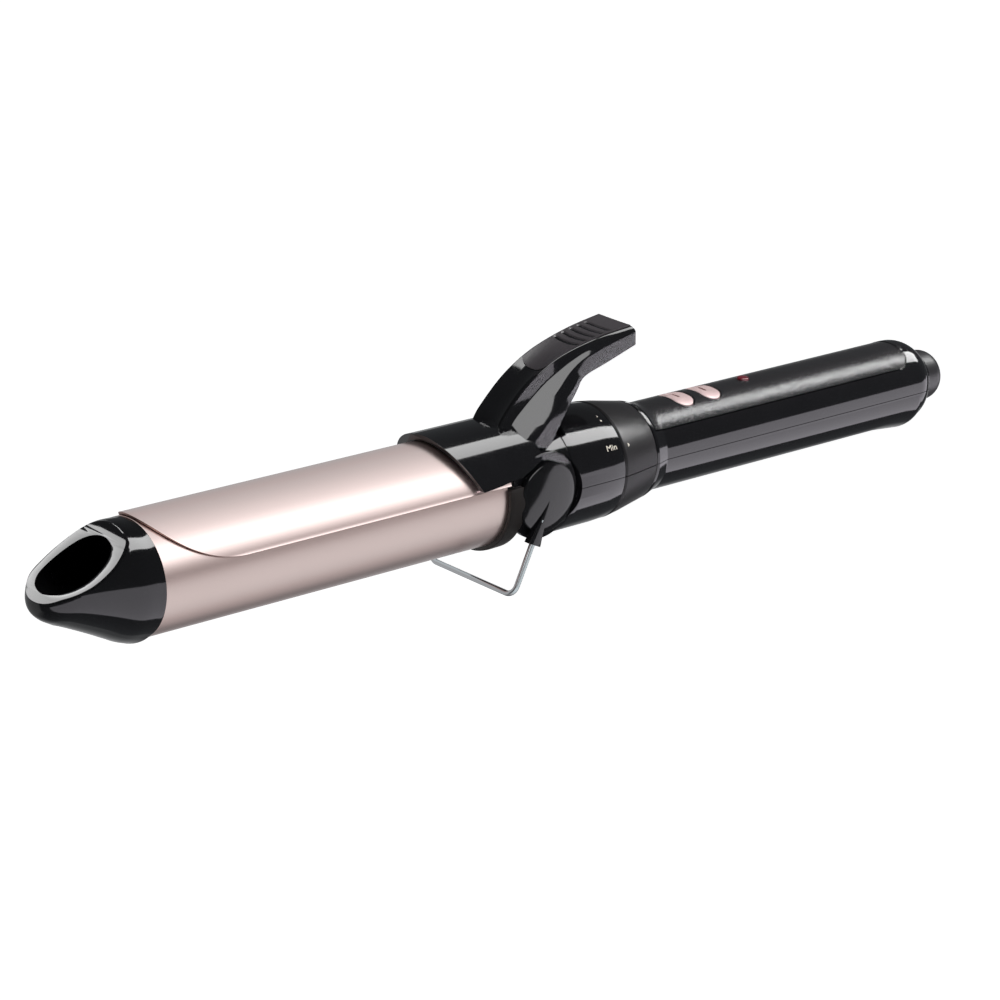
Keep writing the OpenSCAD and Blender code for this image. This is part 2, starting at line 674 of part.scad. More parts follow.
// The hollow under the lever, open towards the neck.
lever_hollow = [[-6, 0], [-6, 22.8], [-2.4, 26.2], [6.3, 33.8], [17.5, 38.8], [20, 36], [14.5, 27],
                [9, 18], [9, 0]];
module saddle_blank() intersection() {
    ring(hinge_x - 60, hinge_x, saddle_out, saddle_in);
    side_prism([[hinge_x - saddle_len - 0.75, saddle_out + 1], [hinge_x - saddle_len, 21.4],
                [hinge_x - saddle_len + 7.8, 7.9], [hinge_x - 11.6, 9.6], [hinge_x - 2.5, 13],
                [hinge_x - 2.5, saddle_out + 1]], 40);
}
module ear() {
    difference() {
        union() {
            hinge_rod(ear_r, ear_y0, ear_y1);
            mirror([0, 1, 0]) translate([0, -ear_y0, 0]) rotate([90, 0, 0])
                linear_extrude(ear_y1 - ear_y0)
                    polygon([[hinge_x - 3, 0], [hinge_x - 2.6, 15.4], [hinge_x - 13, 15.4], [hinge_x - 13.5, 6]]);
        }
        hinge_rod(pin_r + pin_clear, 0, 40);
    }
}
module clip_lever() color([0.05, 0.05, 0.06]) placed() difference() {
    union() {
        saddle_blank();
        difference() {
            lever_blank(0);
            side_prism([for (p = lever_hollow) p + [hinge_x, 0]], lever_half_w - 2.2);
            rod(0, 400, saddle_in);
            rod(hinge_x - 2, 400, neck_r + 0.5);
        }
        both_sides() ear();
    }
    pad_blank();
    rivet_places() cylinder(r = 1.3, h = saddle_in + 1.5);
}
pad_t = 1.4;
pad_top = [for (i = [2:5]) lever_top[i] + [hinge_x, 0]];
pad_half_w = lever_half_w - 2.0;
module pad_blank() side_prism(concat(pad_top, [for (i = [3:-1:0]) pad_top[i] - [0, pad_t]]), pad_half_w);
groove_pitch = 3.1;
module thumb_pad() color([0.14, 0.13, 0.14]) placed() difference() {
    pad_blank();
    for (i = [0:4]) {
        x = 24 + i * groove_pitch;
        z = lookup(x, lever_top);
        translate([hinge_x + x, 0, z + 0.35]) rotate([90, 0, 0])
            cylinder(r = 0.75, h = 2 * pad_half_w - 3, center = true);
    }
}
// Compression spring between the neck and the lever's roof.
spring_r = 3.2;
spring_wire = 0.45;
spring_x = hinge_x + 3.5;
spring_z0 = foot_z - gap;
spring_z1 = 27.6;
spring_turns = 5;
spring_steps = spring_turns * 16;
function spring_ring(i) = let (a = i * 360 / 16, z = spring_z0 + spring_wire
        + (spring_z1 - spring_z0 - 2 * spring_wire) * i / spring_steps)
    [for (k = [0:7]) let (b = k * 45, r = spring_r + spring_wire * cos(b))
        [spring_x + r * cos(a), r * sin(a), z + spring_wire * sin(b)]];
module clip_spring() color([0.6, 0.6, 0.62]) placed() {
    polyhedron([for (i = [0:spring_steps]) each spring_ring(i)],
        concat([[for (k = [0:7]) k]], [[for (k = [7:-1:0]) spring_steps * 8 + k]],
               [for (i = [0:spring_steps - 1], k = [0:7])
                   [i * 8 + k, (i + 1) * 8 + k, (i + 1) * 8 + (k + 1) % 8, i * 8 + (k + 1) % 8]]));
}

// ---- the stand ----
bend_r = 3.5;
leg_from = 7.5;
tab_end = 16.2;
// Draws in the stand's own frame: the hinge at the origin, -Z down the leg.
module stand_frame() {
    translate([hinge_x, 0, 0]) rotate([0, stand_lean, 0]) children();
}
module stand_wire() color([0.8, 0.8, 0.82]) placed() stand_frame() {
    for (s = [-1, 1]) {
        translate([0, s * wire_y, -stand_leg + bend_r]) cylinder(r = wire_r, h = stand_leg - bend_r - leg_from);
        translate([0, s * (wire_y - bend_r), -stand_leg + bend_r]) rotate([0, 0, s > 0 ? 90 : -90])
            rotate([90, 0, 0]) rotate([0, 0, -90]) rotate_extrude(angle = 90) translate([bend_r, 0]) circle(r = wire_r);
    }
    translate([0, wire_y - bend_r, -stand_leg]) rotate([90, 0, 0]) cylinder(r = wire_r, h = 2 * (wire_y - bend_r));
}
module stand_hub() stand_frame() {
    difference() {
        union() {
            intersection() {
                translate([0, hub_y0, 0]) rotate([-90, 0, 0]) cylinder(r = hub_r, h = hub_y1 + hub_dome - hub_y0);
                translate([0, hub_y1 + hub_dome - 80, 0]) sphere(r = 80, $fn = 192);
            }
            block([-2.6, tab_y0, -tab_end], [2.6, tab_y1, -8.5]);
            hub_fin();
        }
        translate([0, wire_y, -20]) cylinder(r = wire_r, h = 20 - leg_from);
        translate([0, hub_y0 - 1, 0]) rotate([-90, 0, 0]) cylinder(r = pin_r + pin_clear, h = 1 + pin_out + gap - hub_y0);
    }
}
// The raised fin that grows from the hub's middle to its tab.
module hub_fin() {
    rotate([0, 90, 0]) translate([0, 0, -1]) linear_extrude(2)
        polygon([[1, tab_y0], [1, hub_y1 + hub_dome - 0.1], [9, tab_y1], [tab_end, tab_y1], [tab_end, tab_y0]]);
}
module stand_hub_left() color([0.05, 0.05, 0.06]) placed() stand_hub();
module stand_hub_right() color([0.05, 0.05, 0.06]) placed() mirror([0, 1, 0]) stand_hub();

barrel_tube();
cool_tip();
tip_bracket();
tip_screw();
heater_block_upper();
heater_block_lower();
ptc_stones();
electrode_strips();
insulation_film();
thermistor();
thermal_fuse();
heater_leads();
barrel_collar();
collar_screws();
hinge_yoke();
hinge_pins();
neck_sleeve();
scale_housing_upper();
scale_housing_lower();
dial_track();
handle_shell_upper();
handle_shell_lower();
top_panel();
circuit_board();
power_components();
push_switches();
indicator_led();
indicator_lens();
shell_screws();
supply_leads();
brush_holder();
contact_brushes();
swivel_bushing();
clip_plate();
clip_lever();
thumb_pad();
clip_rivets();
clip_spring();
stand_wire();
stand_hub_left();
stand_hub_right();
dial_ring_upper();
dial_ring_lower();
dial_pointer();
dial_wiper();
on_button();
off_button();
swivel_gland();
slip_rings();
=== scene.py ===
"""Looks of a curling iron: rose barrel and spring clip, gloss black body, wire stand, dial and swivel."""
import json
import math

import bmesh
import bpy
from mathutils import Matrix, Vector


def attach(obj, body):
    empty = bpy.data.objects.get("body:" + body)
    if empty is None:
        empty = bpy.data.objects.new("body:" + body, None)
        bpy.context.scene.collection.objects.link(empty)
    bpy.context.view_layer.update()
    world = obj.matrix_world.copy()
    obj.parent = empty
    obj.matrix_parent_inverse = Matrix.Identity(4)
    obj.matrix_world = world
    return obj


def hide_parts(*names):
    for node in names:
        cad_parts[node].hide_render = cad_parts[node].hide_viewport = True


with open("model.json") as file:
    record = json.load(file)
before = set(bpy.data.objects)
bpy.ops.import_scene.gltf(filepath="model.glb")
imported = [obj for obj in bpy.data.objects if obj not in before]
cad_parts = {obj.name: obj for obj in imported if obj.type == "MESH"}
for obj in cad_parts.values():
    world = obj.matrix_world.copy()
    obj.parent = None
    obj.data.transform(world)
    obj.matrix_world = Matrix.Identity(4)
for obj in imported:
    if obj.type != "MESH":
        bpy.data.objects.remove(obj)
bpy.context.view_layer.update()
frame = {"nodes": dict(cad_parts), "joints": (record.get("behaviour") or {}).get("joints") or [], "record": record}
scene = bpy.context.scene

# ---- the tool's own axes: x runs from the barrel's front to the cord, z is up, in millimetres ----
joint = {j["name"]: j for j in frame["joints"]}
along = Vector(joint["cord_swivel"]["axis"]).normalized()
upward = along.cross(Vector((0, 1, 0))).normalized()
HINGE_X = 156.0
origin = Vector(joint["clip_hinge"]["pos_m"]) - along * HINGE_X / 1000
TOOL = (Matrix.Translation(origin) @ Matrix((along, (0, 1, 0), upward)).transposed().to_4x4()
        @ Matrix.Scale(0.001, 4))


def turn_to_row(v):
    """A direction of the tool's axes, in the frame's."""
    return (TOOL.to_3x3() @ Vector(v)).normalized()


# ---- camera ----
view = bpy.data.cameras.new("camera")
view.sensor_width, view.lens = 36.0, 128.5
view.clip_start, view.clip_end = 0.05, 50
camera = bpy.data.objects.new("camera", view)
scene.collection.objects.link(camera)
scene.camera = camera
CAMERA_SPOT = (-616.64, -802.22, 392.38)
CAMERA_TURN = ((0.73359, -0.67742, 0.05436), (0.19175, 0.28307, 0.93974), (0.65198, 0.67895, -0.33755))
right, above, ahead = [turn_to_row(v) for v in CAMERA_TURN]
camera.matrix_world = (Matrix.Translation(TOOL @ Vector(CAMERA_SPOT))
                       @ Matrix((right, above, -ahead)).transposed().to_4x4())
scene.view_settings.view_transform = "Standard"


# ---- materials ----
OBJECT_SPOT = 3  # the texture coordinate's output on the object's own axes


class Value:
    """One socket of a shader, which Python's operators work on."""

    def __init__(self, tree, socket):
        self.tree, self.socket = tree, socket

    def math(self, operation, other):
        return new_node(self.tree, "ShaderNodeMath", {"operation": operation}, _0=self, _1=other)

    def __add__(self, other):
        return self.math("ADD", other)

    def __mul__(self, other):
        return self.math("MULTIPLY", other)


def fill(tree, socket, value):
    """Gives a socket a number, a colour or another node's output."""
    if isinstance(value, Value):
        tree.links.new(value.socket, socket)
    else:
        socket.default_value = value


def new_node(tree, kind, settings=(), output=0, **inputs):
    """A new node: its settings first, then what its sockets, named or numbered like _0, are given."""
    node = tree.nodes.new(kind)
    for key, value in dict(settings).items():
        setattr(node, key, value)
    for key, value in inputs.items():
        fill(tree, node.inputs[int(key[1:]) if key[0] == "_" else key], value)
    return Value(tree, node.outputs[output])


class Finish:
    """A material of one main shader, with the patterns that vary it."""

    def __init__(self, name, base, roughness, **fixed):
        self.material = bpy.data.materials.new(name)
        self.material.use_nodes = True
        self.tree = self.material.node_tree
        self.shader = self.tree.nodes["Principled BSDF"]
        self.set("Base Color", (*base, 1))
        self.set("Roughness", roughness)
        for key, value in fixed.items():
            self.set(key.replace("_", " ").title().replace("Ior", "IOR"), value)

    def set(self, socket, value):
        fill(self.tree, self.shader.inputs[socket], value)

    def noise(self, size_mm, detail=2.0, rough=0.5, stretch=None):
        """Smooth noise from 0 to 1, whose lumps are about that many millimetres across."""
        place = new_node(self.tree, "ShaderNodeTexCoord", output=OBJECT_SPOT)
        if stretch:
            place = new_node(self.tree, "ShaderNodeMapping", Vector=place, Scale=stretch)
        return new_node(self.tree, "ShaderNodeTexNoise", Vector=place, Scale=1000 / size_mm, Detail=detail,
                        Roughness=rough)

    def mix(self, share, a, b):
        """A colour between a and b."""
        return new_node(self.tree, "ShaderNodeMix", {"data_type": "RGBA"}, 2, _0=share, _6=a, _7=b)

    def bump(self, height, depth_mm):
        self.set("Normal", new_node(self.tree, "ShaderNodeBump", Height=height, Distance=depth_mm / 1000,
                                    Strength=1.0))


def between(value, low, high):
    """A value from 0 to 1 spread between two numbers."""
    return value * (high - low) + low


def shade(colour, by):
    """The colour made darker or lighter."""
    return (*[min(1.0, c * by) for c in colour], 1)


def lacquered_rose():
    """The barrel's and the clip's coating: clear lacquer over fine metal flakes."""
    rose = (0.86, 0.63, 0.59)
    f = Finish("rose_lacquer", rose, 0.3, metallic=1.0, coat_roughness=0.25)
    clouds, flakes = f.noise(45, 3), f.noise(0.35, 1)
    tint = f.mix(clouds, shade(rose, 0.96), shade(rose, 1.03))
    f.set("Base Color", f.mix(flakes, tint, shade(rose, 1.02)))
    f.set("Roughness", between(f.noise(18, 4, 0.6), 0.26, 0.32))
    f.set("Coat Weight", 1.0)
    f.bump(flakes, 0.004)
    return f.material


def gloss_moulding():
    """Polished black plastic, with faint handling marks and dust."""
    base = (0.0035, 0.0035, 0.004)
    f = Finish("gloss_black", base, 0.06)
    handled, dust = f.noise(22, 5, 0.65), f.noise(1.1, 3, 0.7)
    f.set("Base Color", f.mix(handled, shade(base, 0.7), shade(base, 1.4)))
    f.set("Roughness", between(handled, 0.045, 0.1) + dust * 0.02)
    f.bump(f.noise(16, 1) + dust * 0.015, 0.01)
    return f.material


def satin_moulding(name, base, rough, grain_mm=0.45, depth_mm=0.02):
    """Dull black plastic, with a fine grain and worn patches."""
    f = Finish(name, base, rough)
    grain, wear = f.noise(grain_mm, 2), f.noise(14, 4, 0.6)
    f.set("Base Color", f.mix(wear, shade(base, 0.85), shade(base, 1.25)))
    f.set("Roughness", between(wear, rough - 0.02, rough + 0.03))
    f.bump(grain, depth_mm)
    return f.material


def bright_metal(name, base, rough, scratch_mm=0.6, stretch=(0.1, 1, 1), depth_mm=0.003):
    """Bare or plated metal, with fine lines along the tool."""
    f = Finish(name, base, rough, metallic=1.0)
    lines = f.noise(scratch_mm, 3, 0.6, stretch)
    f.set("Base Color", f.mix(f.noise(9, 3), shade(base, 0.9), shade(base, 1.06)))
    f.set("Roughness", between(lines, rough * 0.75, rough * 1.35))
    f.bump(lines, depth_mm)
    return f.material


def plain_part(name, base, rough, grain_mm=0.8, depth_mm=0.02, spread=0.15, **fixed):
    """A small inside or printed piece: its colour, with mottling and a fine grain."""
    f = Finish(name, base, rough, **fixed)
    mottle = f.noise(6, 4, 0.6)
    f.set("Base Color", f.mix(mottle, shade(base, 1 - spread), shade(base, 1 + spread)))
    f.set("Roughness", between(mottle, rough - 0.06, rough + 0.06))
    f.bump(f.noise(grain_mm, 2), depth_mm)
    return f.material


ROSE = lacquered_rose()
GLOSS = gloss_moulding()
SATIN = satin_moulding("satin_black", (0.013, 0.0125, 0.0135), 0.25, depth_mm=0.008)
SATIN_END = satin_moulding("gland_satin", (0.014, 0.0135, 0.0145), 0.36)
PAD = satin_moulding("pad_satin", (0.032, 0.028, 0.031), 0.42)
DIAL = satin_moulding("dial_satin", (0.012, 0.011, 0.0118), 0.33, 0.5, 0.012)
HOT = satin_moulding("collar_satin", (0.014, 0.0115, 0.011), 0.42, 0.5, 0.02)
BUTTON = plain_part("rose_button", (0.6, 0.45, 0.44), 0.36, 0.4, 0.01, 0.08, metallic=0.3)
# Darker brown metal for the clip blade's inside and cut edge. It is painted shade, standing in for the dark line of
# shadow under the blade's edge.
PAINTED_SHADE_EDGE = bright_metal("painted_shade_edge", (0.42, 0.27, 0.24), 0.4)
CHROME = bright_metal("chrome_wire", (0.72, 0.73, 0.75), 0.12)
STEEL = bright_metal("zinc_steel", (0.6, 0.6, 0.62), 0.3)
ALLOY = bright_metal("extruded_alloy", (0.72, 0.73, 0.74), 0.35, 0.9, (0.05, 1, 1))
BRASS = bright_metal("brass", (0.78, 0.58, 0.26), 0.25)
CERAMIC = plain_part("fired_stone", (0.22, 0.2, 0.19), 0.75, 0.5, 0.05)
FILM = plain_part("amber_film", (0.55, 0.27, 0.05), 0.3, 2.0, 0.02)
SLEEVE = plain_part("lead_sleeve", (0.78, 0.78, 0.75), 0.5)
BOARD = plain_part("circuit_green", (0.03, 0.17, 0.07), 0.35)
INNER = plain_part("dark_inner_parts", (0.05, 0.05, 0.055), 0.45)
NYLON = plain_part("natural_nylon", (0.72, 0.71, 0.67), 0.4)
LENS = plain_part("red_lens", (0.11, 0.003, 0.01), 0.12, 1.5, 0.003, 0.1, coat_weight=0.6)
PRINT = plain_part("pale_print", (0.66, 0.62, 0.52), 0.5, 0.3, 0.003, 0.08)

finish_of_slot = {
    "rose_metal": ROSE, "gloss_black": GLOSS, "satin_black": SATIN, "hot_black": HOT, "rose_plastic": BUTTON,
    "steel": STEEL, "chrome_wire": CHROME, "aluminium": ALLOY, "ceramic": CERAMIC, "brass": BRASS, "film": FILM,
    "lead_sleeve": SLEEVE, "board": BOARD, "dark_parts": INNER, "nylon": NYLON, "red_lens": LENS,
    "white_print": PRINT, "spring_steel": STEEL}
slot_of_node = {s["node"]: s["material_slot"] for s in frame["record"]["subparts"]}
for node, made in frame["nodes"].items():
    made.data.materials.clear()
    made.data.materials.append(finish_of_slot[slot_of_node[node]])
for node in ("dial_ring_upper", "dial_ring_lower"):
    frame["nodes"][node].data.materials[0] = DIAL


# ---- shaping ----
AXIS = Vector((1, 0, 0))


def rounded(corners, steps=5):
    """A profile of [x, radius] points, whose corners with a third number are rounded by it."""
    made = []
    for i, corner in enumerate(corners):
        here = Vector(corner[:2])
        if len(corner) == 2 or i in (0, len(corners) - 1):
            made.append(here)
            continue
        back, on = (Vector(corners[i - 1][:2]) - here), (Vector(corners[i + 1][:2]) - here)
        half = back.angle(on) / 2
        reach = min(corner[2] / math.tan(half), 0.49 * back.length, 0.49 * on.length)
        middle = here + (back.normalized() + on.normalized()).normalized() * reach / math.cos(half)
        start, end = here + back.normalized() * reach - middle, here + on.normalized() * reach - middle
        for k in range(steps + 1):
            made.append(middle + start.lerp(end, k / steps).normalized() * start.length)
    return made


def turned(profile, steps=160, closed=False):
    """A solid of revolution about the tool's axis. A closed profile makes a ring."""
    bm = bmesh.new()
    verts = [bm.verts.new((p[0], 0, p[1])) for p in profile]
    edges = [bm.edges.new(pair) for pair in zip(verts, verts[1:] + verts[:1] if closed else verts[1:])]
    bmesh.ops.spin(bm, geom=verts + edges, cent=(0, 0, 0), axis=AXIS, angle=math.tau, steps=steps, use_merge=True)
    return tidied(bm)


def tidied(bm):
    """Merges what meets and turns every face outwards."""
    bmesh.ops.remove_doubles(bm, verts=bm.verts, dist=1e-4)
    bmesh.ops.dissolve_degenerate(bm, edges=bm.edges, dist=1e-5)
    bmesh.ops.recalc_face_normals(bm, faces=bm.faces)
    return bm


def half_turned(profile, side, steps=100):
    """Half a ring, above (side 1) or below (side -1) the parting plane, from its closed profile."""
    bm = bmesh.new()
    face = bm.faces.new([bm.verts.new((p[0], -p[1], 0)) for p in profile])
    bmesh.ops.spin(bm, geom=[face, *face.edges, *face.verts], cent=(0, 0, 0), axis=AXIS,
                   angle=-side * math.pi, steps=steps)
    bmesh.ops.translate(bm, verts=bm.verts, vec=(0, 0, side * 0.11))
    return tidied(bm)


def prism(outline, y0, y1):
    """A side view [x, z] drawn out from y0 to y1."""
    bm = bmesh.new()
    face = bm.faces.new([bm.verts.new((x, y0, z)) for x, z in outline])
    out = bmesh.ops.extrude_face_region(bm, geom=[face])["geom"]
    bmesh.ops.translate(bm, verts=[g for g in out if isinstance(g, bmesh.types.BMVert)], vec=(0, y1 - y0, 0))
    return tidied(bm)


def cylinder(radius, length, place, steps=48):
    """A round bar, upright before it is placed by a matrix."""
    bm = bmesh.new()
    bmesh.ops.create_cone(bm, cap_ends=True, segments=steps, radius1=radius, radius2=radius, depth=length,
                          matrix=place)
    return bm


def across_hinge(radius, y0, y1, steps):
    """A round bar on the hinge's line."""
    place = Matrix.Translation((HINGE_X, (y0 + y1) / 2, 0)) @ Matrix.Rotation(math.radians(-90), 4, "X")
    return cylinder(radius, abs(y1 - y0), place, steps)


def peg(x, radius, z0, z1):
    """An upright round bar on the tool's middle line."""
    return cylinder(radius, z1 - z0, Matrix.Translation((x, 0, (z0 + z1) / 2)))


def turned_on_hinge(profile):
    """A solid of revolution about the hinge, from [radius, y] points on the +Y side."""
    bm = bmesh.new()
    verts = [bm.verts.new((HINGE_X + radius, y, 0)) for radius, y in rounded(profile, 4)]
    edges = [bm.edges.new(pair) for pair in zip(verts, verts[1:])]
    bmesh.ops.spin(bm, geom=verts + edges, cent=(HINGE_X, 0, 0), axis=(0, 1, 0), angle=math.tau, steps=128,
                   use_merge=True)
    return tidied(bm)


def about_hinge(degrees):
    """The turn about the hinge that drops what is behind it."""
    return (Matrix.Translation((HINGE_X, 0, 0)) @ Matrix.Rotation(math.radians(degrees), 4, "Y")
            @ Matrix.Translation((-HINGE_X, 0, 0)))


def arc(x, radius, size, step, count):
    """Points of an arc from its top forwards, about a centre at [x, radius]."""
    angles = [math.radians(step * k) for k in range(count)]
    return [(x + size * math.sin(a), radius + size * math.cos(a)) for a in angles]


def thickened(bm, thickness):
    """A sheet, seen from above, given a wall below it."""
    bmesh.ops.recalc_face_normals(bm, faces=bm.faces)
    if sum(f.normal.z for f in bm.faces) < 0:
        bmesh.ops.reverse_faces(bm, faces=bm.faces)
    bmesh.ops.remove_doubles(bm, verts=bm.verts, dist=1e-4)
    bmesh.ops.solidify(bm, geom=bm.faces, thickness=thickness)
    return bm


def lofted(sections, cap=True):
    """Closed loops of the same number of points, joined one after another."""
    bm = bmesh.new()
    made = bmesh.ops.create_circle(bm, segments=len(sections[0]), radius=1, cap_ends=False)
    loop = made["verts"]
    for v, spot in zip(loop, sections[0]):
        v.co = spot
    edges = list(bm.edges)
    if cap:
        bm.faces.new(loop)
    for section in sections[1:]:
        out = bmesh.ops.extrude_edge_only(bm, edges=edges)["geom"]
        edges = [g for g in out if isinstance(g, bmesh.types.BMEdge)]
        ring = [g for g in out if isinstance(g, bmesh.types.BMVert)]
        before = {tuple(round(c, 5) for c in v.co): i for i, v in enumerate(loop)}
        order = [None] * len(loop)
        for v in ring:
            order[before[tuple(round(c, 5) for c in v.co)]] = v
        for v, spot in zip(order, section):
            v.co = spot
        edges = [e for e in edges if e.verts[0] in ring and e.verts[1] in ring]
        loop = order
    if cap:
        bm.faces.new(loop)
    return tidied(bm)


def as_object(bm, name="shape", material=None):
    """Puts a shape in the scene. The bmesh is used up."""
    mesh = bpy.data.meshes.new(name)
    bm.to_mesh(mesh)
    bm.free()
    if material:
        mesh.materials.append(material)
    made = bpy.data.objects.new(name, mesh)
    scene.collection.objects.link(made)
    return made


def combined(bm, operation, *others):
    """bm with other shapes cut from it, joined to it, or kept in common. The others are used up."""
    body = as_object(bm)
    tools = [as_object(o, "tool") for o in others]
    for t in tools:
        step = body.modifiers.new("step", "BOOLEAN")
        step.operation, step.solver, step.object = operation, "EXACT", t
    bpy.context.view_layer.update()
    result = bmesh.new()
    result.from_mesh(bpy.data.meshes.new_from_object(body.evaluated_get(bpy.context.evaluated_depsgraph_get())))
    for o in [body, *tools]:
        bpy.data.objects.remove(o)
    return result


def soften(bm, width, angle, segments=2):
    """Rounds the edges that are sharper than an angle."""
    sharp = [e for e in bm.edges if e.is_manifold and e.calc_face_angle(0) > math.radians(angle)]
    bmesh.ops.bevel(bm, geom=sharp, offset=width, segments=segments, profile=0.5, material=-1, affect="EDGES",
                    clamp_overlap=True)
    return bm


def mirrored(bm):
    """A copy for the other side."""
    twin = bm.copy()
    bmesh.ops.scale(twin, vec=(1, -1, 1), verts=twin.verts)
    bmesh.ops.reverse_faces(twin, faces=twin.faces)
    return twin


def piece(name, bm, material, body, replaces=None, smooth=28):
    """Finishes a shape made in the tool's millimetres and lets it ride."""
    bm.transform(TOOL)
    made = as_object(bm, name, material)
    for face in made.data.polygons:
        face.use_smooth = True
    made.data.set_sharp_from_angle(angle=math.radians(smooth))
    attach(made, body)
    if replaces:
        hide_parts(replaces)
    return made


def gloss_piece(name, bm, replaces, smooth=28):
    """A polished black piece of the body that doesn't move."""
    return piece(name, bm, GLOSS, "base", replaces, smooth)


def spline(points, count):
    """A smooth run of points through those given."""
    made = []
    ends = [points[0]] + list(points) + [points[-1]]
    for a, b, c, d in zip(ends, ends[1:], ends[2:], ends[3:]):
        for k in range(count):
            t = k / count
            made.append([0.5 * (2 * q + (r - p) * t + (2 * p - 5 * q + 4 * r - s) * t * t
                                + (3 * q - p - 3 * r + s) * t ** 3) for p, q, r, s in zip(a, b, c, d)])
    made.append(list(points[-1]))
    return made


# ---- barrel and clip plate ----
BARREL_END, BARREL_R, BORE_R = 139.5, 19, 18.25
tube = rounded([(0.05, BORE_R), (0.05, BARREL_R, 0.25), (BARREL_END, BARREL_R, 0.15), (BARREL_END, BORE_R)], 4)
barrel = piece("barrel", turned(tube, 220, closed=True), ROSE, "base", "barrel_tube")


def clip_blade_shape():
    """The spring blade: part of a tube, with an oval front and a faint lip along its edge."""
    outer, inner, half = 20.0, 19.4, math.radians(70.5)
    bm = bmesh.new()
    bmesh.ops.create_grid(bm, x_segments=72, y_segments=60, size=1)
    for v in bm.verts:
        a = v.co.y * math.pi / 2
        front = 0.4 + 31 * (1 - math.cos(a))
        t = (v.co.x + 1) / 2
        turn = half * math.sin(a)
        x = front + (140.5 - front) * t ** 1.4
        lip = max(0.0, 1 - (half - abs(turn)) / 0.045)
        r = outer + 0.13 * lip * lip
        v.co = (x, r * math.sin(turn), r * math.cos(turn))
    return soften(thickened(bm, outer - inner), 0.14, 50)


def inward(face):
    """True on the blade's inside and its cut edge."""
    spot, way = face.calc_center_median(), face.normal
    return way.y * spot.y + way.z * spot.z < 0.6 * spot.yz.length


blade = clip_blade_shape()
# The blade's inside and cut edge get the darker metal, which is painted shade for the shadow line along the edge.
for face in blade.faces:
    face.material_index = 1 if inward(face) else 0
clip_blade = piece("clip_blade", blade, ROSE, "clip", "clip_plate")
clip_blade.data.materials.append(PAINTED_SHADE_EDGE)

# ---- cool tip ----
# The oval sections of the tip and of its hollow: x, height of the middle, half the width, half the height.
TIP = [(0, 0, 19.0, 19.0), (-1.2, 0.05, 18.95, 18.9), (-7, 0.7, 18.5, 18.2), (-14.3, 1.5, 16.6, 15.5),
       (-20.7, 2.0, 14.7, 13.0), (-25.9, 2.0, 12.8, 10.7), (-29.1, 1.2, 11.1, 8.7), (-31.8, 0, 8.7, 6.6),
       (-33.8, -1.1, 6.0, 4.4), (-34.8, -1.7, 3.4, 2.6), (-35.1, -1.9, 1.0, 0.9)]
HOLLOW = [(-1.5, 0.8, 15.0, 14.4), (-9.5, 1.2, 14.6, 14.0), (-14.3, 1.6, 13.6, 12.8), (-20.7, 2.2, 11.8, 10.2),
          (-25.6, 2.4, 9.9, 8.2), (-28.4, 2.1, 8.2, 6.4), (-30.6, 1.6, 5.9, 4.5), (-31.7, 1.3, 3.4, 2.8),
          (-32.2, 1.2, 1.0, 0.9)]
# The side view [x, z] of the slanting cut that opens the hollow.
SCOOP = [(-5.2, 21.5), (-6.8, 18.9), (-7.9, 16.8), (-9.3, 15.3), (-14.3, 11.45), (-18.4, 8.85), (-22.75, 6.4),
         (-25.9, 5.0), (-29.1, 3.6), (-31.2, 2.6), (-33.3, 1.2), (-37, -1.2)]


def oval_section(x, centre, wide, high, count=96):
    return [(x, wide * math.sin(math.tau * i / count), centre + high * math.cos(math.tau * i / count))
            for i in range(count)]


def keel(x, y, z):
    """Draws the tip's underside down to its keel, near the barrel."""
    if z >= 0 or x > 0.2:
        return z
    drop = (1.25 + 1.2 * max(0.0, (x + 8) / 7)) * max(0.0, min(1.0, (x + 34) / 6))
    return z - min(2.45, drop) * max(0.0, 1 - abs(y) / (6 + 0.16 * (x + 35)))


def tip_shape():
    body = lofted([oval_section(*s) for s in spline(TIP, 5)])
    for v in body.verts:
        v.co.z = keel(*v.co)
    return combined(body, "DIFFERENCE", lofted([oval_section(*s) for s in spline(HOLLOW, 4)]))


def above_scoop(depth):
    """What lies above the slanting cut, when that is moved into the tip by a depth."""
    line = [(x + depth * 0.55, z - depth * 0.83) for x, z in spline(SCOOP, 4)]
    return prism(line + [(-60, -1.2), (-60, 40), (-5.2, 40)], -30, 30)


RIM_THICK = 0.7
tip_whole = tip_shape()
tip_body = combined(tip_whole.copy(), "DIFFERENCE", above_scoop(RIM_THICK))
spigot = turned(rounded([(-0.2, 17.9), (9, 17.9, 0.6), (9, 15.5), (-0.2, 15.5)]), 96, closed=True)
tip_rim = combined(combined(tip_whole, "DIFFERENCE", above_scoop(0)), "INTERSECT", above_scoop(RIM_THICK))
soften(tip_rim, 0.22, 40)
tip = gloss_piece("tip_shell", combined(soften(tip_body, 0.15, 40), "UNION", spigot), "cool_tip")
rim = gloss_piece("tip_rim", tip_rim, "cool_tip")

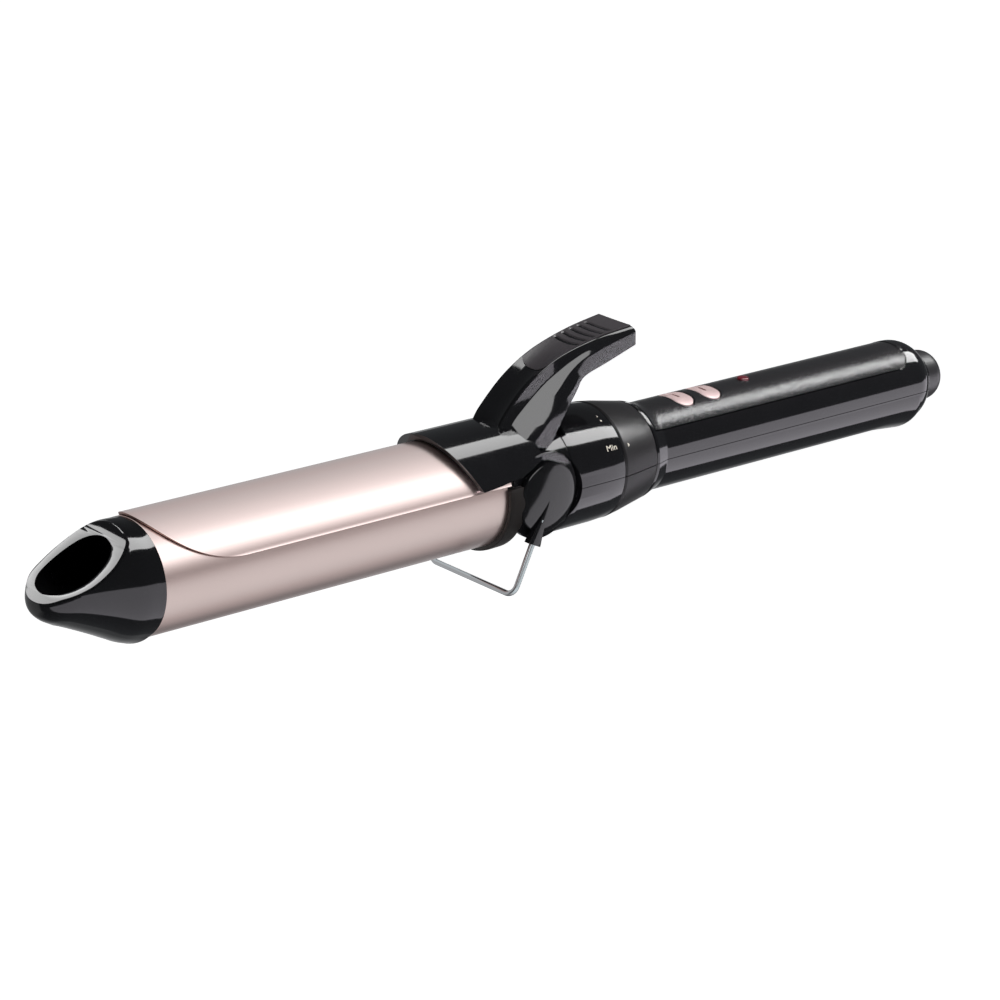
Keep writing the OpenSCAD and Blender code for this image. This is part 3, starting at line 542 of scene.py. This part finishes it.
# ---- thumb lever with its saddle and ears ----
# The lever's sections from its root to its end, on the near side: the middle of the top, the ridge, the top and
# the foot of the chamfer, the foot of the side, and the lower edge.
LEVER = [
    ((146.2, 0, 19.6), (144.6, -6.4, 20.6), (148.8, -7.7, 21.0),
     (149.9, -13.0, 16.6), (152.0, -14.4, 14.6), (160.6, -14.4, 13.4)),
    ((148.4, 0, 23.6), (147.2, -6.4, 25.0), (151.0, -7.5, 24.1),
     (152.4, -12.8, 19.6), (154.8, -14.2, 18.2), (162.5, -14.2, 16.2)),
    ((156.9, 0, 31.6), (155.5, -6.4, 33.2), (159.4, -6.9, 30.7),
     (161.0, -11.2, 26.4), (164.6, -12.7, 25.9), (169.2, -12.8, 24.5)),
    ((164.6, 0, 37.0), (163.5, -6.4, 38.6), (166.5, -6.9, 35.6),
     (169.4, -9.8, 33.3), (173.6, -11.0, 31.6), (175.5, -10.8, 30.1)),
    ((173.6, 0, 41.4), (173.1, -6.6, 42.7), (174.9, -7.7, 39.9),
     (176.7, -9.4, 39.3), (178.9, -10.0, 35.6), (179.7, -10.0, 34.5)),
    ((187.3, 0, 45.4), (187.1, -7.3, 45.9), (187.5, -8.7, 44.6),
     (187.8, -9.8, 43.2), (189.4, -9.9, 38.6), (189.9, -9.9, 37.6)),
    ((202.4, 0, 47.65), (202.2, -8.2, 47.8), (202.5, -9.2, 47.2),
     (202.6, -9.8, 46.4), (202.8, -9.9, 42.4), (202.9, -9.9, 41.6)),
]
LEVER_STEPS = 5
flat_sections = spline([[c for corner in section for c in corner] for section in LEVER], LEVER_STEPS)
LEVER_RUNS = [[Vector(run[i:i + 3]) for i in range(0, 18, 3)] for run in flat_sections]


PIN_HOLE_R = 2.05
EAR_IN, EAR_OUT = 15.7, 18.0


def dished(middle, ridge, w):
    """A point of the dished top, at a share w of the way from its middle to its ridge."""
    return Vector((middle.x, ridge.y * w, middle.z)).lerp(Vector((ridge.x, ridge.y * w, ridge.z)), w * w)


def lever_section(points):
    """The closed section: the near side's corners, the middle of the underside, and the far side's."""
    near = [points[0], *[dished(points[0], points[1], w) for w in (0.3, 0.6, 0.85)], *points[1:]]
    far = [Vector((p.x, -p.y, p.z)) for p in near]
    under = Vector((near[-1].x + 0.3, 0, near[-1].z))
    return near + [under] + far[:0:-1]


def neck_when_pressed(degrees):
    """The neck as the lever meets it when it is pressed down by so many degrees, with a little to spare."""
    neck = turned([(146, 0), (146, 19.0), (151, 18.6), (154, 17.9), (159, 18.5), (164, 19.7), (168.2, 20.5),
                   (171, 20.65), (186, 20.6), (190, 20.4), (190, 0)], 120)
    pocket = prism([(143, 17.3), (143, 40), (174.3, 40), (174.3, 25.2), (169.8, 15.7), (162, 14.7)], -11.6, 11.6)
    neck = combined(neck, "DIFFERENCE", pocket)
    neck.transform(about_hinge(-degrees))
    return neck


def arm_shape():
    """The thumb's arm, hollow below, and cut clear of the barrel and neck through its whole travel."""
    arm = soften(lofted([lever_section(run) for run in LEVER_RUNS]), 0.35, 13, 3)
    hollow = prism([(150, 10), (150, 22.8), (153.6, 26.2), (162.3, 33.0), (172.5, 37.6), (175, 35), (169, 25),
                    (166, 10)], -4.8, 4.8)
    below = turned([(135, 0), (135, 20.3), (152.5, 20.3), (156, 18.6), (161, 18.6), (164.5, 19.6), (169, 20.75),
                    (200, 20.75), (200, 0)], 120)
    return combined(arm, "DIFFERENCE", hollow, below, *[neck_when_pressed(a) for a in (5, 9.5, 14.3)])


def saddle_shape():
    """The part of a tube that holds the blade. It lies a hair off the arm's own edges, so that the two join well."""
    saddle = turned([(112, 20.3), (112, 22.7), (154.6, 22.7), (154.6, 20.3)], 200, closed=True)
    side = prism([(117.4, 26), (118.5, 21.4), (126.3, 7.9), (135, 8.6), (144.4, 9.8), (149, 11.2), (154.5, 13.6),
                  (154.5, 26)], -40, 40)
    saddle = soften(combined(saddle, "INTERSECT", side), 0.35, 35)
    bmesh.ops.translate(saddle, verts=saddle.verts, vec=(0.013, 0, 0.011))
    return saddle


ear = turned_on_hinge([(0, EAR_IN), (14.9, EAR_IN, 0.3), (14.9, EAR_OUT, 0.35), (0, EAR_OUT)])
strap = combined(prism([(153, 0), (153.4, 15.6), (143, 16.5), (142.4, 6)], EAR_IN, EAR_OUT), "INTERSECT",
                 turned([(130, 0), (130, 22.5), (160, 22.5), (160, 0)]))
lever = combined(combined(saddle_shape(), "UNION", arm_shape()),
                 "UNION", ear, mirrored(ear), mirrored(strap), strap)
pin_holes = [across_hinge(PIN_HOLE_R, side * 14, side * 19, 48) for side in (-1, 1)]
thumb_lever = piece("thumb_lever", combined(lever, "DIFFERENCE", *pin_holes), GLOSS, "clip",
                    "clip_lever", 14)


def pad_shape():
    """The ribbed thumb pad, lying on the lever's dished top, with a round front and five cross grooves."""
    bm = bmesh.new()
    bmesh.ops.create_grid(bm, x_segments=170, y_segments=36, size=1)
    for v in bm.verts:
        w = 0.93 * v.co.y
        front = 3.0 + 0.34 * abs(w) ** 3.2
        t = (front + (5.97 - front) * (v.co.x + 1) / 2) * LEVER_STEPS
        k = min(int(t), len(LEVER_RUNS) - 2)
        middle, ridge = [LEVER_RUNS[k][i].lerp(LEVER_RUNS[k + 1][i], t - k) for i in (0, 1)]
        spot = dished(middle, ridge, w)
        groove = sum(math.exp(-((spot.x - x) / 0.62) ** 4) for x in (180, 183.5, 187, 190.5, 194))
        edge = max(0.0, min(1.0, (6.0 - abs(ridge.y * w)) / 0.5))
        v.co = (spot.x, spot.y, spot.z + 0.34 - 0.5 * groove * edge)
    return soften(tidied(thickened(bm, 0.75)), 0.12, 60)


piece("ribbed_pad", pad_shape(), PAD, "clip", "thumb_pad", 40)

# ---- stand ----
STAND_LEAN = 23.3
WIRE_Y = 20.6


def leaned(bm):
    """Turns a stand piece from upright to the stand's lean."""
    bm.transform(about_hinge(STAND_LEAN))
    return bm


def hub_shape():
    """A domed disc with a sloping fin that grows from its middle down to the wire's tab."""
    disc = turned_on_hinge([(0, 18.3), (12, 18.3, 0.2), (12, 20.3, 0.45), (9, 20.69), (6, 20.97), (3, 21.14),
                            (0, 21.2)])
    fin = prism([(HINGE_X + 0.25, -0.5), (HINGE_X + 2.6, -16.2), (HINGE_X - 2.6, -16.2)], 19.2, 22.2)
    for v in fin.verts:
        if v.co.y > 22 and v.co.z > -1:
            v.co.y = 21.25
        elif v.co.y > 22 and v.co.x < HINGE_X:
            v.co.y = 21.75
    shape = combined(disc, "UNION", soften(fin, 0.18, 25))
    wire_hole = cylinder(1.0, 14, Matrix.Translation((HINGE_X, WIRE_Y, -14.5)), 40)
    return leaned(combined(shape, "DIFFERENCE", across_hinge(PIN_HOLE_R, 17, 20.2, 48), wire_hole))


def wire_shape():
    """The bent wire: two legs and the crossbar, one round rod."""
    foot, bend = -34.2, 3.5
    path = [(WIRE_Y, -7.5), (WIRE_Y, -20)]
    path += [(WIRE_Y - bend + bend * math.cos(a), foot + bend - bend * math.sin(a)) for a in
             [math.radians(9 * k) for k in range(11)]]
    path += [(-p[0], p[1]) for p in path[::-1]]
    loops = []
    for i, (py, pz) in enumerate(path):
        back, on = path[max(i - 1, 0)], path[min(i + 1, len(path) - 1)]
        way = Vector((0, on[0] - back[0], on[1] - back[1])).normalized()
        side = way.cross(AXIS)
        loops.append([Vector((HINGE_X, py, pz)) + AXIS * math.cos(a) + side * math.sin(a)
                      for a in [math.tau * k / 32 for k in range(32)]])
    return leaned(lofted(loops))


hub_left = hub_shape()
hub_right = mirrored(hub_left)
hubs = [piece("hub_left", hub_left, GLOSS, "stand", "stand_hub_left", 30),
        piece("hub_right", hub_right, GLOSS, "stand", "stand_hub_right", 30)]
wire = piece("bent_wire", wire_shape(), CHROME, "stand", "stand_wire", 40)

# ---- collar behind the barrel ----
NECK_X, NECK_BORE = 149, 12.5
collar = turned(rounded([(131.5, 16.3), (131.5, 18.15), (BARREL_END, 18.15), (BARREL_END, 18.9, 0.2),
                         (NECK_X, 18.9, 0.2), (NECK_X, NECK_BORE), (144, NECK_BORE), (144, 16.3)]), closed=True)
skirt = turned(rounded([(BARREL_END, 18), (BARREL_END, 20.5, 0.4), (141, 20.6), (145.7, 20.5, 1.5),
                        (NECK_X, 18.7), (NECK_X, 18)]), closed=True)
skirt = combined(skirt, "INTERSECT", prism([(120, -50), (160, -50), (160, 5.5), (120, 5.5)], -50, 50))
collar = combined(collar, "UNION", soften(skirt, 0.3, 50))
screw_holes = [cylinder(1.1, 8, Matrix.Rotation(math.radians(a), 4, "X") @ Matrix.Translation((147, 0, 14.2))
                        @ Matrix.Rotation(math.radians(90), 4, "Y"), 32) for a in (-30, 30, 180)]
heat_collar = piece("heat_collar", combined(collar, "DIFFERENCE", *screw_holes), HOT, "base",
                    "barrel_collar", 30)

# ---- neck ----
YOKE = [(NECK_X, NECK_BORE), (NECK_X, 18.6, 0.4), (151, 18.1), (154, 17.5), (159, 18.1), (164, 19.3),
        (168.2, 20.15, 0.2), (168.2, NECK_BORE)]
SCALE = [(168.32, NECK_BORE), (168.32, 20.15, 0.2), (171, 20.3), (186, 20.25), (191.95, 20.0, 0.35),
         (191.95, NECK_BORE)]
HALVES = (("upper", 1), ("lower", -1))
FLAT_Y = 15.4


def lever_pockets():
    """What the ears on both sides and the foot of the lever's arm need of the neck."""
    tools = []
    for side in (-1, 1):
        tools.append(across_hinge(15.5, side * FLAT_Y, side * 30, 128))
        tools.append(prism([(HINGE_X, 0), (HINGE_X + 14, 22), (HINGE_X - 30, 30), (HINGE_X - 16.5, 4)],
                           *sorted((side * FLAT_Y, side * 35))))
    tools.append(prism([(143, 17), (143, 40), (174.5, 40), (174.5, 24.9), (170, 15.4), (162, 14.4)], -11.9, 11.9))
    return tools


yoke = combined(turned(rounded(YOKE), 200, closed=True), "DIFFERENCE", *lever_pockets())
necks = [gloss_piece("neck_front", soften(yoke, 0.25, 35), "hinge_yoke", 24)]
for half, side in HALVES:
    housing = combined(half_turned(rounded(SCALE), side), "DIFFERENCE", *lever_pockets())
    necks.append(gloss_piece("scale_half_" + half, soften(housing, 0.18, 35), "scale_housing_" + half, 24))

# ---- dial ----
DIAL_PROFILE = [(192.3, 13.2), (192.3, 19.6, 0.3), (193.0, 20.05, 0.3), (198, 19.35), (204, 18.25),
                (209.6, 17.25, 0.35), (209.7, 13.2)]
dials = [piece("dial_half_" + half, soften(half_turned(rounded(DIAL_PROFILE), side), 0.12, 50), DIAL, "dial",
               "dial_ring_" + half, 24) for half, side in HALVES]

# ---- handle ----
HEEL_X, REAR_X, HANDLE_R = 346.3, 358.5, 15.4
BUTTONS, LED_X = (234.6, 247.8), 267.8
PANEL_X0, PANEL_X1, PANEL_CORNER, PANEL_HALF = 212.0, 344.9, 7.0, math.radians(52)


def handle_outline():
    """The closed profile of the handle's wall: its flared front, its round rear and its inside."""
    front = [(210.1, 15.1), (210.1, 16.9, 0.35), (211.2, 17.0, 0.5), (216.5, HANDLE_R, 3)]
    tail = [p for p in arc(REAR_X - 11, 4.4, 11, 7.5, 9) if p[0] < REAR_X - 0.9]
    return rounded([*front, *tail, (REAR_X, 9.75, 0.3), (REAR_X, 9.6), (REAR_X - 15.5, 9.6),
                    (REAR_X - 18.5, 13.2), (213.5, 13.2), (211.9, 15.1)])


def panel_patch(shrink, lift, thick):
    """The top panel as a curved sheet with round rear corners, made thick inwards."""
    bm = bmesh.new()
    bmesh.ops.create_grid(bm, x_segments=110, y_segments=48, size=1)
    wide, corner = HANDLE_R * PANEL_HALF - shrink, PANEL_CORNER - shrink
    for v in bm.verts:
        round_by = math.sin(v.co.y * math.pi / 2) * wide
        over = max(0.0, abs(round_by) - (wide - corner))
        end = PANEL_X1 - shrink - (corner - math.sqrt(max(0.0, corner ** 2 - over ** 2)))
        x = PANEL_X0 + shrink + (end - PANEL_X0 - shrink) * (v.co.x + 1) / 2
        r = (17.0 - 1.6 * (x - 211.2) / 5.3 if x < 216.5 else HANDLE_R) + lift
        turn = round_by / HANDLE_R
        v.co = (x, r * math.sin(turn), r * math.cos(turn))
    return tidied(thickened(bm, thick))


def oval(x, grow, z0, z1, half_x=4.0, half_y=6.8, steps=64):
    """An upright bar whose two round ends are drawn apart across the tool."""
    bm = cylinder(half_x + grow, z1 - z0, Matrix.Translation((x, 0, (z0 + z1) / 2)), steps)
    for v in bm.verts:
        v.co.y += math.copysign(half_y - half_x, v.co.y) if abs(v.co.y) > 1e-6 else 0
    return tidied(bm)


def panel_holes():
    """The holes for the two buttons and the lens."""
    return [*[oval(x, 0.6, 8, 20) for x in BUTTONS], peg(LED_X, 2.3, 8, 20)]


def heel_shape():
    """The round heel below the rear end, which the iron stands on, with the handle's inside left free."""
    swell = turned([(HEEL_X - 16.5, 0), (HEEL_X - 16.5, 14.05), *arc(HEEL_X, 6.9, 8.5, 7.5, 13), (HEEL_X + 8.5, 0)])
    bmesh.ops.translate(swell, verts=swell.verts, vec=(0, 0, -1.3))
    lower_side = prism([(300, -0.11), (370, -0.11), (370, -30), (300, -30)], -30, 30)
    inside = turned([(300, 0), (300, 13), (REAR_X - 18.4, 13), (REAR_X - 15.4, 9.7), (REAR_X + 5, 9.7),
                     (REAR_X + 5, 0)], 120)
    return combined(combined(swell, "INTERSECT", lower_side), "DIFFERENCE", inside)


upper = combined(half_turned(handle_outline(), 1), "DIFFERENCE", panel_patch(0, 1.0, 2.0), *panel_holes())
top_shell = gloss_piece("handle_top_shell", soften(upper, 0.15, 38), "handle_shell_upper", 24)
lower = combined(combined(half_turned(handle_outline(), -1), "UNION", heel_shape()), "DIFFERENCE",
                 *[peg(x, 2.7, -20, -9.9) for x in (224, 280, 317)])
bottom_shell = gloss_piece("handle_bottom_shell", soften(lower, 0.15, 38), "handle_shell_lower", 24)
panel = combined(panel_patch(0.45, 0, 0.7), "DIFFERENCE", *panel_holes())
cover = piece("top_cover", soften(panel, 0.14, 38), SATIN, "base", "top_panel", 24)

# ---- scale marks ----
MARK_THICK = 0.06


def lettering(word, turn):
    """A word's flat mesh, its place given in x and in millimetres round the neck from the top."""
    curve = bpy.data.curves.new(word, "FONT")
    curve.body, curve.size, curve.extrude, curve.offset = word, 2.9, MARK_THICK / 2, -0.008
    curve.align_x = "CENTER"
    made = bpy.data.objects.new(word, curve)
    scene.collection.objects.link(made)
    bpy.context.view_layer.update()
    mesh = bpy.data.meshes.new_from_object(made.evaluated_get(bpy.context.evaluated_depsgraph_get()))
    bpy.data.objects.remove(made)
    letters = bmesh.new()
    letters.from_mesh(mesh)
    flip = 1 if turn > 0 else -1
    for v in letters.verts:
        v.co = (187 + flip * 1.15 * v.co.x, 20.3 * math.radians(turn) - flip * v.co.y, v.co.z)
    bmesh.ops.remove_doubles(letters, verts=letters.verts, dist=1e-4)
    letters.to_mesh(mesh)
    letters.free()
    return mesh


def scale_marks():
    """Nine dots and the two ends' words, wrapped about the neck."""
    marks = bmesh.new()
    for k in range(-4, 5):
        spot = Matrix.Translation((188.5, 20.3 * math.radians(4.5 + 6.3 * k), 0))
        bmesh.ops.create_cone(marks, cap_ends=True, segments=20, radius1=0.36, radius2=0.33, depth=MARK_THICK,
                              matrix=spot)
    marks.from_mesh(lettering("Min", 61.6))
    marks.from_mesh(lettering("Max", -61.6))
    for v in marks.verts:
        turn, r = v.co.y / 20.3, 20.32 - 0.042 * max(0, v.co.x - 186) + v.co.z
        v.co = (v.co.x, -r * math.sin(turn), r * math.cos(turn))
    bmesh.ops.recalc_face_normals(marks, faces=marks.faces)
    return marks


piece("scale_print", scale_marks(), PRINT, "base")

# ---- push buttons, lens and swivel ----
def button_shape(x):
    """An oval cap with a crowned top and a short mark, on a wider foot that keeps it in."""
    crown = turned([(x - 8, 9), (x - 8, 15.0), (x - 4, 15.3), (x, 15.45), (x + 4, 15.3), (x + 8, 15.0), (x + 8, 9)],
                   120, closed=True)
    inside = turned([(x - 8, 1), (x - 8, 12.9), (x + 8, 12.9), (x + 8, 1)], 120, closed=True)
    cap = soften(combined(oval(x, 0, 9.6, 18), "INTERSECT", crown), 0.3, 40, 3)
    foot = combined(oval(x, 1.1, 9.6, 10.5), "INTERSECT", inside)
    mark = oval(x - 0.4, 0, 14.2, 17, 0.5, 2.0, 24)
    return combined(combined(cap, "UNION", foot), "DIFFERENCE", mark)


for x, node in zip(BUTTONS, ("on_button", "off_button")):
    piece(node + "_cap", button_shape(x), BUTTON, node, node, 32)
lens = soften(peg(LED_X, 2.2, 12.3, 16.1), 0.6, 50, 4)
piece("lens_cap", lens, LENS, "base", "indicator_lens", 50)

gland_line = [(-32.9, 2.6), (-32.9, 5.5), (-15.9, 5.5), (-15.9, 11), (-13.9, 11), (-13.9, 9.3),
              *arc(4.4, 3.3, 6, 7.5, 9), (10.1, 5.6), (10.4, 5.3), (10.4, 3.8), (10.0, 3.4), (-9.6, 3.4), (-9.6, 2.6)]
gland = turned([(REAR_X + x, radius) for x, radius in gland_line], 140, closed=True)
piece("cord_gland", gland, SATIN_END, "swivel", "swivel_gland", 30)

# ---- floor, backdrop and light ----
def glow(name, radiance, colour=(1, 1, 1), clear=True):
    """Even light. A clear sheet lets what is behind it be seen through it."""
    made = bpy.data.materials.new(name)
    made.use_nodes = True
    tree = made.node_tree
    tree.nodes.remove(tree.nodes["Principled BSDF"])
    light = new_node(tree, "ShaderNodeEmission", Color=(*colour, 1), Strength=radiance)
    if clear:
        light = new_node(tree, "ShaderNodeAddShader", _0=light, _1=new_node(tree, "ShaderNodeBsdfTransparent"))
    fill(tree, tree.nodes["Material Output"].inputs["Surface"], light)
    return made


def staged(name, bm, material):
    """A thing of the studio, which isn't part of the iron and throws no shadow."""
    made = as_object(bm, name, material)
    made.visible_shadow = False
    return made


def build_floor():
    """The pale ground, which the gloss doesn't mirror."""
    pale = Finish("pale_floor", (0.8, 0.8, 0.8), 0.9, emission_color=(1, 1, 1, 1), emission_strength=1.0)
    bm = bmesh.new()
    bmesh.ops.create_grid(bm, x_segments=1, y_segments=1, size=6)
    staged("floor", bm, pale.material).visible_glossy = False


def build_backdrop():
    """The white all round, which only the camera sees, and the faint light of the room."""
    bm = bmesh.new()
    bmesh.ops.create_icosphere(bm, subdivisions=4, radius=9)
    dome = staged("backdrop", bm, glow("white_backdrop", 1.0, clear=False))
    dome.visible_glossy = dome.visible_diffuse = dome.visible_transmission = False
    world = bpy.data.worlds.new("studio")
    world.use_nodes = True
    world.node_tree.nodes["Background"].inputs["Color"].default_value = (0.9, 0.95, 1, 1)
    world.node_tree.nodes["Background"].inputs["Strength"].default_value = 0.1
    scene.world = world


def card(name, corners, material, pieces=None):
    """A flat sheet of light, from its four corners in the tool's millimetres. It lights these pieces, or all."""
    bm = bmesh.new()
    bm.faces.new([bm.verts.new(TOOL @ Vector(corner)) for corner in corners])
    made = staged(name, bm, material)
    made.visible_camera = False
    if pieces:
        made.light_linking.receiver_collection = group_of(pieces)


groups = {}


def group_of(pieces):
    """The pieces as a collection, which cards with the same pieces share."""
    names = tuple(p.name for p in pieces)
    if names not in groups:
        groups[names] = bpy.data.collections.new(f"lit_{len(groups)}")
        for p in pieces:
            groups[names].objects.link(p)
    return groups[names]


def overhead(name, level, y0, y1, radiance, pieces):
    """A strip of light above. Each level lies a little apart, because cards in one place hide each other."""
    x0, x1, z = 100, 1500, 600 + 4 * level
    card(name, [(x0, y0, z), (x1, y0, z), (x1, y1, z), (x0, y1, z)], glow(name + "_glow", radiance), pieces)


def below(name, level, radiance, pieces, near=-31):
    """A low sheet of light on the near side, with an upright one at its far edge."""
    light = glow(name + "_glow", radiance, (1.0, 0.96, 1.04))
    x0, x1, z, reach, top = -300, 1500, -41 - 1.5 * level, -410 - 3 * level, 10
    card(name, [(x0, near, z), (x1, near, z), (x1, reach, z), (x0, reach, z)], light, pieces)
    card(name + "_edge", [(x0, reach, z), (x1, reach, z), (x1, reach, top), (x0, reach, top)], light, pieces)


def light_body(rest):
    """The strips and cards that draw the highlights of the black pieces, each for its own pieces."""
    handle = [top_shell, bottom_shell]
    overhead("tip_strip", 0, -235, 50, 9.5, [tip, *rest])
    overhead("saddle_strip", 1, -110, 165, 6.9, [thumb_lever])
    overhead("neck_strip", 2, -400, -80, 9.5, [*necks, heat_collar])
    overhead("handle_strip", 3, -300, 95, 11, handle)
    overhead("cover_strip", 4, -235, 10, 9.5, [cover])
    overhead("dial_strip", 5, -560, -160, 9, dials)
    below("tip_low", 0, 1.45, [tip])
    below("body_low", 1, 2.0, [*necks, *handle, *rest])
    below("dial_low", 2, 0.8, [*dials, cover])
    below("lever_low", 3, 2.3, [thumb_lever], near=-150)
    card("cover_edge_light", [(1000, 400, 640), (1130, 400, 640), (1130, 1000, 640), (1000, 1000, 640)],
         glow("cover_edge_glow", 9), [top_shell])
    card("hub_card", [(146, -49, -39), (580, -446, -39), (1200, -446, -39), (1200, -49, -39)],
         glow("hub_glow", 1.35, (1.0, 0.97, 1.03)), hubs)
    card("rim_card", [(-300, 120, 390), (200, 120, 390), (200, 560, 330), (-300, 560, 330)], glow("rim_glow", 7),
         [rim])
    card("lever_card", [(-180, -650, 440), (300, -650, 440), (300, -150, 440), (-180, -150, 440)],
         glow("lever_glow", 5), [thumb_lever, *hubs])


# Brightness round the rose pieces, by the angle from straight out on the near side, over the top.
TENT = [(-110, 0.06), (-98, 0.1), (-86, 0.26), (-74, 0.39), (-60, 0.53), (-45, 0.61), (-26, 0.61), (-14, 0.57),
        (-3, 0.46), (8, 0.12), (18, 0.28), (28, 0.72), (40, 1.7), (58, 1.8), (72, 1.02), (84, 0.83), (96, 0.75),
        (110, 0.61), (125, 0.51), (145, 0.43), (165, 0.36), (190, 0.32), (220, 0.4), (250, 0.06)]
TENT_R, STRIP_WIDTH, TENT_BACK = 420, 6, 177


def light_rose(rose):
    """A soft tent of long strips round the rose pieces. Behind and below, it edges the black pieces too."""
    for k, ((a0, b0), (a1, b1)) in enumerate(zip(TENT, TENT[1:])):
        steps = max(1, round((a1 - a0) / STRIP_WIDTH))
        for i in range(steps):
            edges = [math.radians(a0 + (a1 - a0) * (i + j) / steps) for j in (0, 1)]
            (y0, z0), (y1, z1) = [(-TENT_R * math.cos(t), TENT_R * math.sin(t)) for t in edges]
            bright = b0 + (b1 - b0) * (i + 0.5) / steps
            light = glow(f"tent_glow_{k}_{i}", bright, (1, 1, 1) if bright < 0.45 else (1.0, 1.11, 1.13))
            card(f"tent_{k}_{i}", [(-700, y0, z0), (1500, y0, z0), (1500, y1, z1), (-700, y1, z1)], light,
                 rose if math.degrees(edges[0]) < TENT_BACK else None)


rose_pieces = [barrel, clip_blade, wire]
body_pieces = [tip, rim, thumb_lever, *hubs, *necks, cover, *dials, top_shell, bottom_shell, heat_collar]
small_pieces = [o for o in bpy.data.objects if o.type == "MESH" and not o.hide_render
                and o not in rose_pieces and o not in body_pieces]
build_floor()
build_backdrop()
light_body(small_pieces)
light_rose(rose_pieces)
